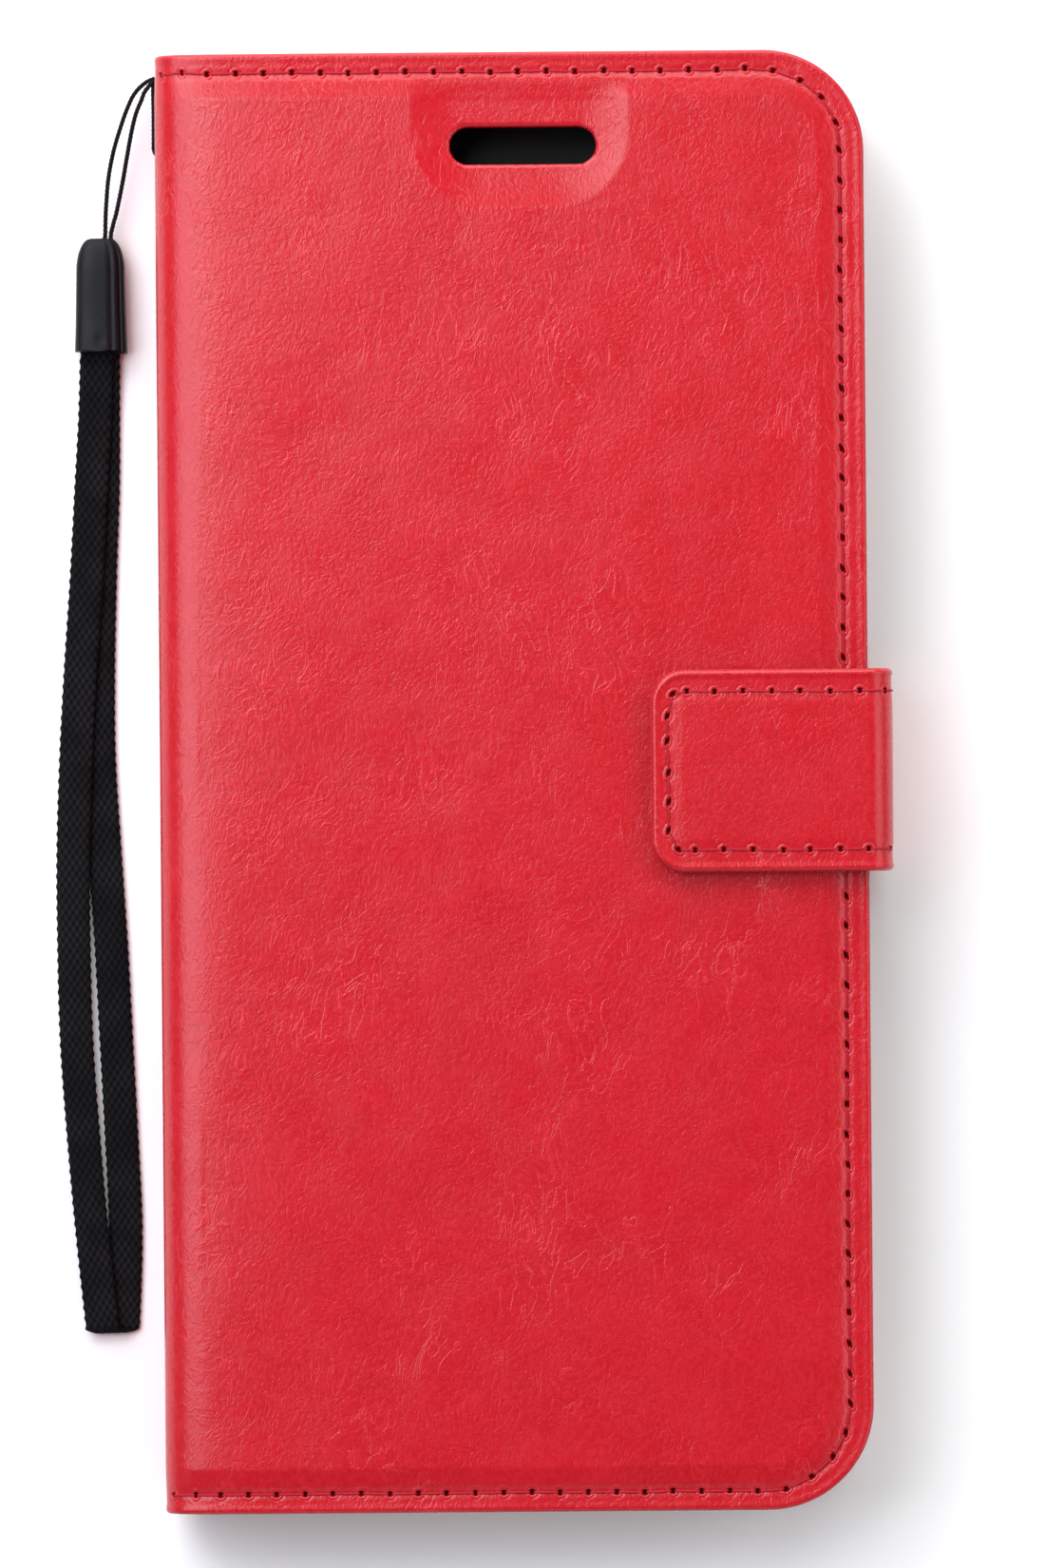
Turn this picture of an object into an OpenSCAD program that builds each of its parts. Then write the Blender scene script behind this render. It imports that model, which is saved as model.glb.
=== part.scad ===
// Folding wallet case for a phone, closed and lying on its back.
// +X runs from the spine to the clasp, +Y to the top of the phone, +Z through the thickness.
// The origin is the centre of the case's footprint, on the surface it lies on.

/* [Case] */
// Height of the covers, along Y
case_h = 165; // [150:1:180]
// Width of the covers, from the spine's outer face to the free edge
cover_w = 80.2; // [76:0.2:90]
// Closed thickness without the clasp tab
case_t = 17.6; // [17.2:0.2:20]
// Radius of the covers' top corner at the free edge
corner_r_top = 11.4; // [6:0.1:12]
// Radius of the covers' bottom corner at the free edge
corner_r_bottom = 11.9; // [6:0.1:12]
// Radius of the rounded spine edges
spine_r = 4.5; // [4.2:0.1:5]

/* [Layers] */
// Thickness of the outer leather
skin_t = 0.8; // [0.6:0.1:0.9]
// Thickness of the stiffening board
board_t = 1.2; // [1:0.1:1.4]
// Thickness of the lining leather
lining_t = 0.6; // [0.4:0.1:0.7]
// Drop from the padded panel to the stitched margin
margin_drop = 0.5; // [0.3:0.1:0.6]
// Width of the stitched margin round the padded panel
margin_w = 3.7; // [3:0.1:4.5]

/* [Phone tray] */
// Outer width of the tray
tray_w = 73.6; // [70:0.2:74]
// Outer height of the tray
tray_h = 159.2; // [150:0.2:160]
// Depth of the tray, floor included
tray_d = 10; // [9:0.1:10]
// Thickness of the tray's walls
tray_wall = 1.1; // [0.9:0.1:1.6]
// Outer corner radius of the tray
tray_r = 8; // [5:0.5:11]
// Width of the cut-out for the rear camera
camera_w = 15; // [10:1:24]
// Height of the cut-out for the rear camera
camera_h = 33; // [12:1:40]

/* [Ear slot] */
// Length of the slot over the earpiece
slot_l = 16.6; // [12:0.2:20]
// Width of the slot over the earpiece
slot_w = 4.3; // [4.2:0.1:6]
// Height of the slot's centre above the middle of the case
slot_y = 71.9; // [68:0.1:74]

/* [Clasp] */
// Width of the clasp, along Y
clasp_w = 22.4; // [18:0.2:30]
// Height of the clasp's centre above the middle of the case
clasp_y = 1.3; // [-5:0.1:5]
// Reach of the clasp past the covers' free edge
clasp_out = 2.8; // [2.6:0.1:3.2]
// Length of the tab over the front cover, bend included
tab_l = 27.4; // [22:0.2:32]
// Radius of the tab's free corners
tab_r = 3.8; // [2:0.1:5]
// Radius of the magnet
magnet_r = 5; // [4:0.5:6]

/* [Stitches] */
// Distance from one stitch to the next
stitch_pitch = 3.2; // [2.6:0.1:4]
// Length of thread on show in a stitch
stitch_l = 2.4; // [1.8:0.1:2.5]
// Thickness of the thread
thread_d = 0.5; // [0.3:0.1:0.6]

/* [Wrist strap] */
// Diameter of the thin cord
cord_d = 0.6; // [0.5:0.1:0.8]
// Width of the woven strap
web_w = 3.8; // [3:0.1:4]
// Thickness of the woven strap
web_t = 0.9; // [0.6:0.1:0.9]
// Width of the moulded cap
cap_w = 6; // [5:0.1:7]
// Thickness of the moulded cap
cap_t = 4; // [3.4:0.1:4.4]
// Radius of the two punched holes that hold the cord
punch_r = 0.8; // [0.7:0.1:1]

/* [Hidden] */

$fn = 96;
eps = 0.05;
half_w = (cover_w + clasp_out) / 2;
half_h = case_h / 2;
spine_x = -half_w;
edge_x = spine_x + cover_w;
fold_x = spine_x + spine_r;
mitre_gap = 1;
seam_gap = 0.1;

// Heights of the back cover's layers; the front cover is their mirror image
back_board_z = skin_t;
back_lining_z = skin_t + board_t;
inner_z = skin_t + board_t + lining_t;

// Leather radii at the spine's rounded edges, from the outside in
lining_r = spine_r - skin_t - board_t;

tray_x0 = fold_x;
tray_x1 = tray_x0 + tray_w;
tray_floor_t = 1.2;
tray_lip_t = 0.6;
tray_lip = 0.5;
tray_top = inner_z + tray_d;
window_z = [inner_z + 3, inner_z + 7.8];
port_x = [-6, 6];
speaker_x = [11, 25];
microphone_x = [-21, -12];
top_microphone_x = [12, 20];
button_y = [20, 52];
window_in = 3;
camera_x = 22;
camera_y = 56;
camera_r = 5;
camera_flare = 0.6;

slot_x = 0.2;
slot_board_gap = 0.5;

// Pocket panels hang under the front lining, each 14 mm lower than the one before
pocket_x0 = -31;
pocket_x1 = 33;
pocket_bottom = -58;
cash_top = 58;
card_top = 36;
card_step = 14;
cash_t = 0.5;
card_t = 0.42;
thumb_r = 9;
front_inner_z = case_t - inner_z;

// The stitch line's insets from the covers' edges, and the lengths of its straight runs and corners
stitch_h = 0.25;
stitch_in_y = 2.2;
stitch_in_x = 2.7;
stitch_in_corner = 2.4;
stitch_rt = corner_r_top - stitch_in_corner;
stitch_rb = corner_r_bottom - stitch_in_corner;
seam_x0 = spine_x + stitch_in_corner;
seam_x1 = edge_x - stitch_in_x;
seam_y = half_h - stitch_in_y;
seam_start = 1.5 * stitch_pitch;
run_top = seam_x1 - stitch_rt - seam_x0;
run_arc_top = PI / 2 * stitch_rt;
run_side = 2 * seam_y - stitch_rt - stitch_rb;
run_arc_bottom = PI / 2 * stitch_rb;
run_bottom = seam_x1 - stitch_rb - seam_x0;
seam_length = run_top + run_arc_top + run_side + run_arc_bottom + run_bottom;
pocket_stitch_in = 1.5;

// The clasp's leather is one wall turned twice; the pivots are its outer corners
clasp_skin_t = 0.7;
clasp_lining_t = 0.6;
clasp_wall = clasp_skin_t + clasp_lining_t;
clasp_r = 2.8;
clasp_bottom = 0.6;
tab_under = case_t + 0.3;
tab_core_t = 0.7;
tab_top = tab_under + clasp_lining_t + tab_core_t + clasp_skin_t;
tab_x0 = half_w - tab_l;
bend_x = half_w - clasp_r;
anchor_x = edge_x - margin_w;
magnet_x = tab_x0 + 8.5;
tab_stitch_in = 2.1;
keeper_t = 0.6;

// Two holes through the spine, and the cord that is hitched through them
punch_y = [80.2, 71.8];
punch_z = 4.6;
hitch_x = [spine_x - cord_d / 2 - eps, spine_x + inner_z + cord_d / 2 + eps];

// The cap's place and the routes of the cord's two strands, hole to cap
cap_x = -48.1;
cap_y = [49.5, 62.4];
cord_left = [
    [-42.8, 80, 4.2], [-44, 78.8, 4.1], [-44.9, 77, 3.9], [-45.7, 74.8, 3.6],
    [-46.5, 72.2, 3.2], [-47.1, 69.2, 2.8], [-47.4, 66, 2.4], [-47.5, 64.2, 2.2], [-47.6, 62.4, 2]
];
cord_right = [
    [-42.8, 79, 4.8], [-43.2, 78, 4.8], [-43.8, 76.6, 4.6], [-44.3, 74.8, 4.1],
    [-44.9, 71.8, 3.6], [-45.5, 68.6, 3.1], [-46.2, 65.4, 2.6], [-46.6, 64, 2.3], [-46.9, 62.4, 2]
];
// Centre lines of the woven strap's two runs, from the cap to the fold at the bottom
web_left = [
    [-48.6, 49.5], [-48.9, 42], [-49.4, 34], [-50, 24], [-50.8, 13], [-51.4, 3], [-51.8, -8],
    [-51.8, -18], [-51.6, -29], [-50.9, -40], [-50, -51], [-48.9, -62]
];
web_right = [
    [-47.9, 49.5], [-48, 42], [-48.1, 34], [-48.5, 24], [-48.8, 13], [-48.8, 3], [-48.2, -8],
    [-47.6, -18], [-47.1, -29], [-46.6, -40], [-46.2, -51], [-46.6, -62]
];

// ---- Shapes in plan ----

// A rectangle with rounded corners on its +X side only
module cover_plan(x0, x1, y0, y1, rt, rb) {
    translate([x0, y0]) square([x1 - rb - x0, rb + eps]);
    translate([x0, y1 - rt - eps]) square([x1 - rt - x0, rt + eps]);
    translate([x0, y0 + rb]) square([x1 - x0, y1 - y0 - rt - rb]);
    translate([x1 - rt, y1 - rt]) circle(rt);
    translate([x1 - rb, y0 + rb]) circle(rb);
}

// The covers' outline, set in from the free edges
module cover_outline(inset, x0 = fold_x) {
    cover_plan(x0, edge_x - inset, inset - half_h, half_h - inset, corner_r_top - inset,
        corner_r_bottom - inset);
}

module rounded_rect(x0, x1, y0, y1, r) {
    translate([x0 + r, y0]) square([x1 - x0 - 2 * r, y1 - y0]);
    translate([x0, y0 + r]) square([x1 - x0, y1 - y0 - 2 * r]);
    for (x = [x0 + r, x1 - r], y = [y0 + r, y1 - r]) translate([x, y]) circle(r);
}

// A plate of a plan shape between two heights
module plate(z0, z1) {
    translate([0, 0, z0]) linear_extrude(z1 - z0) children();
}

// ---- Shapes in section, drawn in X and Z and run along Y ----

module along_y(y0, y1) {
    translate([0, y1, 0]) rotate([90, 0, 0]) linear_extrude(y1 - y0) children();
}

// Part of a ring, between two angles at most 90 degrees apart
module arc_band(centre, r_out, r_in, a0, a1) {
    mid = (a0 + a1) / 2;
    translate(centre) difference() {
        intersection() {
            circle(r_out);
            polygon([[0, 0], 3 * r_out * [cos(a0), sin(a0)], 3 * r_out * [cos(mid), sin(mid)],
                3 * r_out * [cos(a1), sin(a1)]]);
        }
        circle(r_in);
    }
}

module section_box(x0, x1, z0, z1) {
    translate([x0, z0]) square([x1 - x0, z1 - z0]);
}

// Mirrors a back cover layer into the matching front cover layer
module as_front() {
    translate([0, 0, case_t]) mirror([0, 0, 1]) children();
}

// ---- Covers: the same skin, board and lining, drawn for the back ----

// Half of a rounded spine edge, with a flat lip that joins the cover
module cover_fold(r_out, t, z0, length) {
    along_y(-length / 2, length / 2) {
        arc_band([fold_x, spine_r], r_out, r_out - t, 225 + mitre_gap, 270);
        section_box(fold_x - eps, fold_x + 0.6, z0, z0 + t);
    }
}

module cover_skin() {
    cover_fold(spine_r, skin_t, 0, case_h);
    plate(0, skin_t) cover_outline(margin_w);
    plate(margin_drop, back_lining_z) difference() {
        cover_outline(0);
        cover_outline(margin_w + 0.3, fold_x + 0.5);
    }
}

module cover_board() {
    plate(back_board_z, back_lining_z) cover_outline(margin_w + 0.4, fold_x + 0.7);
}

module cover_lining() {
    cover_fold(lining_r, lining_t, back_lining_z, case_h - 1);
    plate(back_lining_z, inner_z) cover_outline(0.5);
}

module slot_plan(grow = 0) {
    r = slot_w / 2 + grow;
    reach = slot_l / 2 + grow - r;
    translate([slot_x, slot_y]) {
        square([2 * reach, 2 * r], center = true);
        for (side = [-1, 1]) translate([side * reach, 0]) circle(r);
    }
}

module camera_plan(grow = 0) {
    rounded_rect(camera_x - camera_w / 2 - grow, camera_x + camera_w / 2 + grow,
        camera_y - camera_h / 2 - grow, camera_y + camera_h / 2 + grow, camera_r + grow);
}

// The notch in the back's margin where the clasp is sewn in
module clasp_notch(grow) {
    translate([anchor_x - grow, clasp_y - clasp_w / 2 - grow, margin_drop - eps])
        cube([margin_w + 1, clasp_w + 2 * grow, back_lining_z - margin_drop + 2 * eps]);
}

module back_outer_skin() {
    color("crimson") difference() {
        cover_skin();
        clasp_notch(seam_gap);
        plate(-1, inner_z) camera_plan();
    }
}

module back_board() {
    color("dimgray") difference() {
        cover_board();
        plate(0, inner_z) camera_plan(slot_board_gap);
    }
}

module back_lining() {
    color("firebrick") difference() {
        cover_lining();
        plate(0, inner_z + 1) camera_plan();
    }
}

module front_outer_skin() {
    color("crimson") difference() {
        as_front() cover_skin();
        plate(case_t - inner_z, case_t + 1) slot_plan();
    }
}

module front_board() {
    color("dimgray") difference() {
        as_front() cover_board();
        plate(front_inner_z, case_t) slot_plan(slot_board_gap);
        translate([magnet_x, clasp_y, case_t - skin_t - keeper_t - seam_gap])
            cylinder(h = keeper_t + 1, r = magnet_r + seam_gap);
    }
}

module front_lining() {
    color("firebrick") difference() {
        as_front() cover_lining();
        plate(front_inner_z - 1, case_t) slot_plan();
    }
}

// Steel plate under the front leather that the clasp's magnet holds to
module keeper_plate() {
    color("silver") translate([magnet_x, clasp_y, case_t - skin_t - keeper_t])
        cylinder(h = keeper_t, r = magnet_r);
}

// ---- Stitching ----

// One stitch lying along a direction, with its underside at the height z
module stitch(at, angle, z, grow = 0) {
    size = [stitch_l, thread_d, stitch_h] + 2 * grow * [1, 1, 1];
    translate([at[0], at[1], z - grow]) rotate(angle) translate([-size[0] / 2, -size[1] / 2, 0]) cube(size);
}

// Point and direction at a distance along the top, free edge and bottom of a cover
function seam_at(s) =
    s < run_top ? [seam_x0 + s, seam_y, 0]
    : s < run_top + run_arc_top ? arc_top_at((s - run_top) / run_arc_top * 90)
    : s < run_top + run_arc_top + run_side ?
        [seam_x1, seam_y - stitch_rt - (s - run_top - run_arc_top), -90]
    : s < seam_length - run_bottom ?
        arc_bottom_at((s - run_top - run_arc_top - run_side) / run_arc_bottom * 90)
    : [seam_x0 + seam_length - s, -seam_y, 180];

function arc_top_at(a) =
    [seam_x1 - stitch_rt + stitch_rt * sin(a), seam_y - stitch_rt + stitch_rt * cos(a), -a];

function arc_bottom_at(a) =
    [seam_x1 - stitch_rb + stitch_rb * cos(a), -seam_y + stitch_rb - stitch_rb * sin(a), -90 - a];

module cover_seam(z) {
    for (s = [seam_start : stitch_pitch : seam_length - seam_start]) {
        p = seam_at(s);
        stitch(p, p[2], z);
    }
}

module front_stitching() {
    color("darkred") cover_seam(case_t - margin_drop);
}

module back_stitching() {
    color("darkred") cover_seam(margin_drop - stitch_h);
}

module pocket_stitching() {
    z = front_inner_z - cash_t - 3 * card_t - stitch_h;
    top = card_top - 2 * card_step - stitch_pitch;
    color("darkred") {
        for (y = [pocket_bottom + 2 : stitch_pitch : top],
            x = [pocket_x0 + pocket_stitch_in, pocket_x1 - pocket_stitch_in])
            stitch([x, y], 90, z);
        for (x = [pocket_x0 + 3.5 : stitch_pitch : pocket_x1 - 3.5])
            stitch([x, pocket_bottom + pocket_stitch_in], 0, z);
    }
}

// The tab's stitches, sunk into its leather so that it can lie flat on its face
module tab_seam(grow) {
    x0 = tab_x0 + tab_stitch_in;
    ends = clasp_w / 2 - tab_stitch_in;
    z = tab_top - stitch_h;
    for (x = [x0 + stitch_pitch : stitch_pitch : bend_x], side = [-1, 1])
        stitch([x, clasp_y + side * ends], 0, z, grow);
    for (y = [stitch_pitch - ends : stitch_pitch : ends - stitch_pitch / 2])
        stitch([x0, clasp_y + y], 90, z, grow);
}

module tab_stitching() {
    color("darkred") tab_seam(0);
}

// ---- Spine ----

// The spine's wall between its two mitred edges
module spine_wall(r_out, t, x, length) {
    along_y(-length / 2, length / 2) {
        arc_band([fold_x, spine_r], r_out, r_out - t, 180, 225 - mitre_gap);
        arc_band([fold_x, case_t - spine_r], r_out, r_out - t, 135 + mitre_gap, 180);
        section_box(x, x + t, spine_r - eps, case_t - spine_r + eps);
    }
}

module punched_holes() {
    for (y = punch_y)
        translate([spine_x - 1, y, punch_z]) rotate([0, 90, 0]) cylinder(h = inner_z + 2, r = punch_r);
}

module spine_outer_skin() {
    color("crimson") difference() {
        spine_wall(spine_r, skin_t, spine_x, case_h);
        punched_holes();
    }
}

module spine_board() {
    color("dimgray") difference() {
        translate([spine_x + skin_t, 1 - half_h, spine_r])
            cube([board_t, case_h - 2, case_t - 2 * spine_r]);
        punched_holes();
    }
}

module spine_lining() {
    color("firebrick") difference() {
        spine_wall(lining_r, lining_t, spine_x + skin_t + board_t, case_h - 1);
        punched_holes();
    }
}

// The turn of cord hitched through both holes: along the inside and back along the outside
module cord_hitch() {
    color("black") {
        for (x = hitch_x) {
            translate([x, punch_y[1], punch_z]) rotate([-90, 0, 0])
                cylinder(h = punch_y[0] - punch_y[1], d = cord_d, $fn = 24);
            for (y = punch_y) translate([x, y, punch_z]) sphere(d = cord_d, $fn = 24);
        }
        for (y = punch_y) translate([hitch_x[0], y, punch_z]) rotate([0, 90, 0])
            cylinder(h = hitch_x[1] - hitch_x[0], d = cord_d, $fn = 24);
    }
}

// ---- Inside of the case ----

// A window through the tray's wall, between the two heights that all of them share
module tray_window(x, y) {
    translate([x[0], y[0], window_z[0]])
        cube([x[1] - x[0], y[1] - y[0], window_z[1] - window_z[0]]);
}

module phone_tray() {
    inner = tray_wall;
    color([0.12, 0.12, 0.13]) difference() {
        plate(inner_z, tray_top) rounded_rect(tray_x0, tray_x1, -tray_h / 2, tray_h / 2, tray_r);
        plate(inner_z + tray_floor_t, tray_top - tray_lip_t)
            rounded_rect(tray_x0 + inner, tray_x1 - inner, inner - tray_h / 2, tray_h / 2 - inner,
                tray_r - inner);
        plate(inner_z + tray_floor_t, tray_top + 1)
            rounded_rect(tray_x0 + inner + tray_lip, tray_x1 - inner - tray_lip,
                inner + tray_lip - tray_h / 2, tray_h / 2 - inner - tray_lip, tray_r - inner - tray_lip);
        plate(inner_z - 1, inner_z + tray_floor_t + 1) camera_plan(camera_flare);
        for (x = [port_x, speaker_x, microphone_x])
            tray_window(x, [-tray_h / 2 - 1, window_in - tray_h / 2]);
        tray_window(top_microphone_x, [tray_h / 2 - window_in, tray_h / 2 + 1]);
        tray_window([tray_x1 - window_in, tray_x1 + 1], button_y);
    }
}

module pocket_panel(top, z, t, x0, x1, notch) {
    difference() {
        translate([x0, pocket_bottom, z]) cube([x1 - x0, top - pocket_bottom, t]);
        if (notch > 0)
            translate([(x0 + x1) / 2, top + notch / 3, z - 1]) cylinder(h = t + 2, r = notch);
    }
}

module cash_pocket() {
    color("firebrick") pocket_panel(cash_top, front_inner_z - cash_t, cash_t, pocket_x0, pocket_x1, 0);
}

// Card panel number i, counted from the uppermost
module card_slot(i) {
    color("firebrick")
        pocket_panel(card_top - i * card_step, front_inner_z - cash_t - (i + 1) * card_t, card_t,
            pocket_x0, pocket_x1, i == 2 ? thumb_r : 0);
}

module card_slot_upper() { card_slot(0); }

module card_slot_middle() { card_slot(1); }

module card_slot_lower() { card_slot(2); }

// ---- Clasp ----

module clasp_along() {
    along_y(clasp_y - clasp_w / 2, clasp_y + clasp_w / 2) children();
}

// The clasp's end, sewn into the back's margin, and its turn up to the first pivot
module clasp_anchor() {
    color("crimson") clasp_along() {
        arc_band([bend_x, clasp_bottom + clasp_r], clasp_r, clasp_r - clasp_wall, 270, 315 - mitre_gap);
        section_box(anchor_x, bend_x + eps, clasp_bottom, clasp_bottom + clasp_wall);
    }
}

// One layer of the side strip, with half of each bend
module strip_layer(r_out, t, x) {
    clasp_along() {
        arc_band([bend_x, clasp_bottom + clasp_r], r_out, r_out - t, 315 + mitre_gap, 360);
        arc_band([bend_x, tab_top - clasp_r], r_out, r_out - t, 0, 45 - mitre_gap);
        section_box(x - t, x, clasp_bottom + clasp_r - eps, tab_top - clasp_r + eps);
    }
}

module strap_outer_skin() {
    color("crimson") strip_layer(clasp_r, clasp_skin_t, half_w);
}

module strap_lining() {
    color("firebrick") strip_layer(clasp_r - clasp_skin_t, clasp_lining_t, half_w - clasp_skin_t);
}

module tab_plan() {
    translate([0, clasp_y]) {
        rounded_rect(tab_x0, tab_x0 + 4 * tab_r, -clasp_w / 2, clasp_w / 2, tab_r);
        translate([tab_x0 + 2 * tab_r, -clasp_w / 2]) square([bend_x + eps - tab_x0 - 2 * tab_r, clasp_w]);
    }
}

module tab_outer_skin() {
    color("crimson") difference() {
        union() {
            clasp_along() arc_band([bend_x, tab_top - clasp_r], clasp_r, clasp_r - clasp_skin_t,
                45 + mitre_gap, 90);
            plate(tab_top - clasp_skin_t, tab_top) tab_plan();
        }
        tab_seam(eps);
    }
}

module tab_lining() {
    r_out = clasp_r - clasp_skin_t;
    color("firebrick") {
        clasp_along() {
            arc_band([bend_x, tab_top - clasp_r], r_out, r_out - clasp_lining_t, 45 + mitre_gap, 90);
            section_box(bend_x - 1, bend_x + eps, tab_top - clasp_r + r_out - clasp_lining_t,
                tab_top - clasp_r + r_out);
            section_box(bend_x - 1, bend_x - 0.4, tab_under, tab_top - clasp_skin_t);
        }
        plate(tab_under, tab_under + clasp_lining_t) intersection() {
            tab_plan();
            translate([tab_x0, clasp_y - clasp_w]) square([bend_x - 0.4 - tab_x0, 2 * clasp_w]);
        }
    }
}

module tab_board() {
    z = tab_under + clasp_lining_t;
    color("dimgray") difference() {
        plate(z, z + tab_core_t)
            rounded_rect(tab_x0 + 1, bend_x - 1.2, clasp_y + 1 - clasp_w / 2, clasp_y - 1 + clasp_w / 2,
                tab_r - 1);
        translate([magnet_x, clasp_y, z - 1]) cylinder(h = tab_core_t + 2, r = magnet_r + seam_gap);
    }
}

module tab_magnet() {
    color("silver") translate([magnet_x, clasp_y, tab_under + clasp_lining_t])
        cylinder(h = tab_core_t, r = magnet_r);
}

// ---- Wrist strap ----

function unit(v) = v / norm(v);

// Smooth curve through the points p, with n steps between neighbours
function spline(p, n) = [
    for (i = [0 : len(p) - 2], k = [0 : n - 1]) curve_point(p, i, k / n),
    p[len(p) - 1]
];

function curve_point(p, i, t) =
    let (a = p[max(i - 1, 0)], b = p[i], c = p[i + 1], d = p[min(i + 2, len(p) - 1)])
    0.5 * (2 * b + (c - a) * t + (2 * a - 5 * b + 4 * c - d) * t * t
        + (3 * b - a - 3 * c + d) * t * t * t);

function heading(p, i) = unit(p[min(i + 1, len(p) - 1)] - p[max(i - 1, 0)]);

// A round tube of diameter d swept through the points p
module tube(p, d, sides = 8) {
    n = len(p);
    rings = [
        for (i = [0 : n - 1])
            let (side = unit(cross(heading(p, i), [0, 0, 1])), up = cross(side, heading(p, i)))
            for (k = [0 : sides - 1])
                p[i] + d / 2 * (cos(360 * k / sides) * side + sin(360 * k / sides) * up)
    ];
    walls = [
        for (i = [0 : n - 2], k = [0 : sides - 1])
            let (a = i * sides + k, b = i * sides + (k + 1) % sides)
            each [[a, a + sides, b + sides], [a, b + sides, b]]
    ];
    ends = [
        [for (k = [0 : sides - 1]) k],
        [for (k = [sides - 1 : -1 : 0]) (n - 1) * sides + k]
    ];
    polyhedron(rings, concat(walls, ends));
}

module lanyard_cord() {
    color("black") {
        tube(spline(cord_left, 2), cord_d);
        tube(spline(cord_right, 2), cord_d);
    }
}

// Moulded cap, round-shouldered towards the cord and open to the strap
module lanyard_cap() {
    shoulder = 2;
    color([0.1, 0.1, 0.1]) plate(0, cap_t) {
        translate([cap_x - cap_w / 2, cap_y[0]]) square([cap_w, cap_y[1] - cap_y[0] - shoulder]);
        translate([cap_x - cap_w / 2 + shoulder, cap_y[0]])
            square([cap_w - 2 * shoulder, cap_y[1] - cap_y[0]]);
        for (side = [-1, 1]) translate([cap_x + side * (cap_w / 2 - shoulder), cap_y[1] - shoulder])
            circle(shoulder);
    }
}

// A flat run of webbing along a centre line
module ribbon(p, z) {
    n = len(p);
    sides = [for (i = [0 : n - 1]) let (h = heading(p, i)) web_w / 2 * [-h[1], h[0]]];
    plate(z, z + web_t) polygon(concat(
        [for (i = [0 : n - 1]) p[i] + sides[i]],
        [for (i = [n - 1 : -1 : 0]) p[i] - sides[i]]
    ));
}

module lanyard_webbing() {
    last = len(web_left) - 1;
    fold_x0 = web_left[last][0] - web_w / 2;
    fold_x1 = web_right[last][0] + web_w / 2;
    color([0.05, 0.05, 0.05]) {
        ribbon(web_right, 0);
        ribbon(web_left, web_t + eps);
        translate([fold_x0, web_left[last][1], 0]) cube([fold_x1 - fold_x0, 1.2, 2 * web_t + eps]);
    }
}

back_outer_skin();
back_board();
back_lining();
back_stitching();
phone_tray();
clasp_anchor();
spine_outer_skin();
spine_board();
spine_lining();
cord_hitch();
front_outer_skin();
front_board();
front_lining();
front_stitching();
keeper_plate();
cash_pocket();
card_slot_upper();
card_slot_middle();
card_slot_lower();
pocket_stitching();
strap_outer_skin();
strap_lining();
tab_outer_skin();
tab_board();
tab_lining();
tab_magnet();
tab_stitching();
lanyard_cord();
lanyard_cap();
lanyard_webbing();
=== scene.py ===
"""Looks of the phone wallet case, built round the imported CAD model. Metres, in the CAD model's frame."""
import math
from collections import Counter

import bpy
import numpy as np
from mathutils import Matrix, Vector


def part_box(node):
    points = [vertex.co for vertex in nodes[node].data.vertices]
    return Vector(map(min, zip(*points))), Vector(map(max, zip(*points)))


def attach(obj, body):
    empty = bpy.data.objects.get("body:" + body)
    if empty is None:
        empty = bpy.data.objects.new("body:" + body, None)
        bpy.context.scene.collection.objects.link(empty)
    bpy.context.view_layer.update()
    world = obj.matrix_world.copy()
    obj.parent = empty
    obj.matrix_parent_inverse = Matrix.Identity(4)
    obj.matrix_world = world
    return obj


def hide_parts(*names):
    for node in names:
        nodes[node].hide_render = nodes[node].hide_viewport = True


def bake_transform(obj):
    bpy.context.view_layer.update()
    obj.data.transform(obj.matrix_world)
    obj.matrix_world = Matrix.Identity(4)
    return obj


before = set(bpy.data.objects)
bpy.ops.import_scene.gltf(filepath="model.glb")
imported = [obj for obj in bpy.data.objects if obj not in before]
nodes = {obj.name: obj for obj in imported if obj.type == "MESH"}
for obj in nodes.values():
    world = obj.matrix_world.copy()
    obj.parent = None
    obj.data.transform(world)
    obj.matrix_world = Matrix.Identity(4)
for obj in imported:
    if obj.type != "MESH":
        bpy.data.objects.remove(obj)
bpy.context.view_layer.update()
MM = 0.001


# ---- driving dimensions, in millimetres

def box_mm(node):
    low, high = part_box(node)
    return np.array(low) / MM, np.array(high) / MM


# The covers and the spine between them
SPINE_X = box_mm("spine_outer_skin")[0][0]
EDGE_X, HALF_H, TOP_Z = box_mm("front_outer_skin")[1]
MID_Z = TOP_Z / 2
FOLD_R = 4.5
FOLD_X = SPINE_X + FOLD_R
CORNER_TOP = 11.4
CORNER_BOTTOM = 11.9
OUTLINE = (EDGE_X, HALF_H, CORNER_TOP, CORNER_BOTTOM)
COVER_T = 2.6
# How far the stitched margin lies below the padded panel, and how the leather rolls off towards the spine
MARGIN_DROP = 0.5
ROLL_OFF = 0.36
ROLL_LENGTH = 3.0
ROLL_ONSET = 6.5
# Distances along the section, from the middle of the spine: to its edge's arc, and to the cover's flat
S_ARC = TOP_Z - FOLD_R - MID_Z
S_FLAT = MID_Z - FOLD_R + FOLD_R * math.pi / 2

# The seam round a cover: pitch of the stitches, wider down the clasp side, and the line's outline
STITCH_PITCH = 3.2
SIDE_PITCH = 3.37
SEAM_R_LESS = 2.4
SEAM_START = SPINE_X - 0.3
SEAM = (EDGE_X - 2.7, HALF_H - 2.2, CORNER_TOP - SEAM_R_LESS, CORNER_BOTTOM - SEAM_R_LESS)

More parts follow.
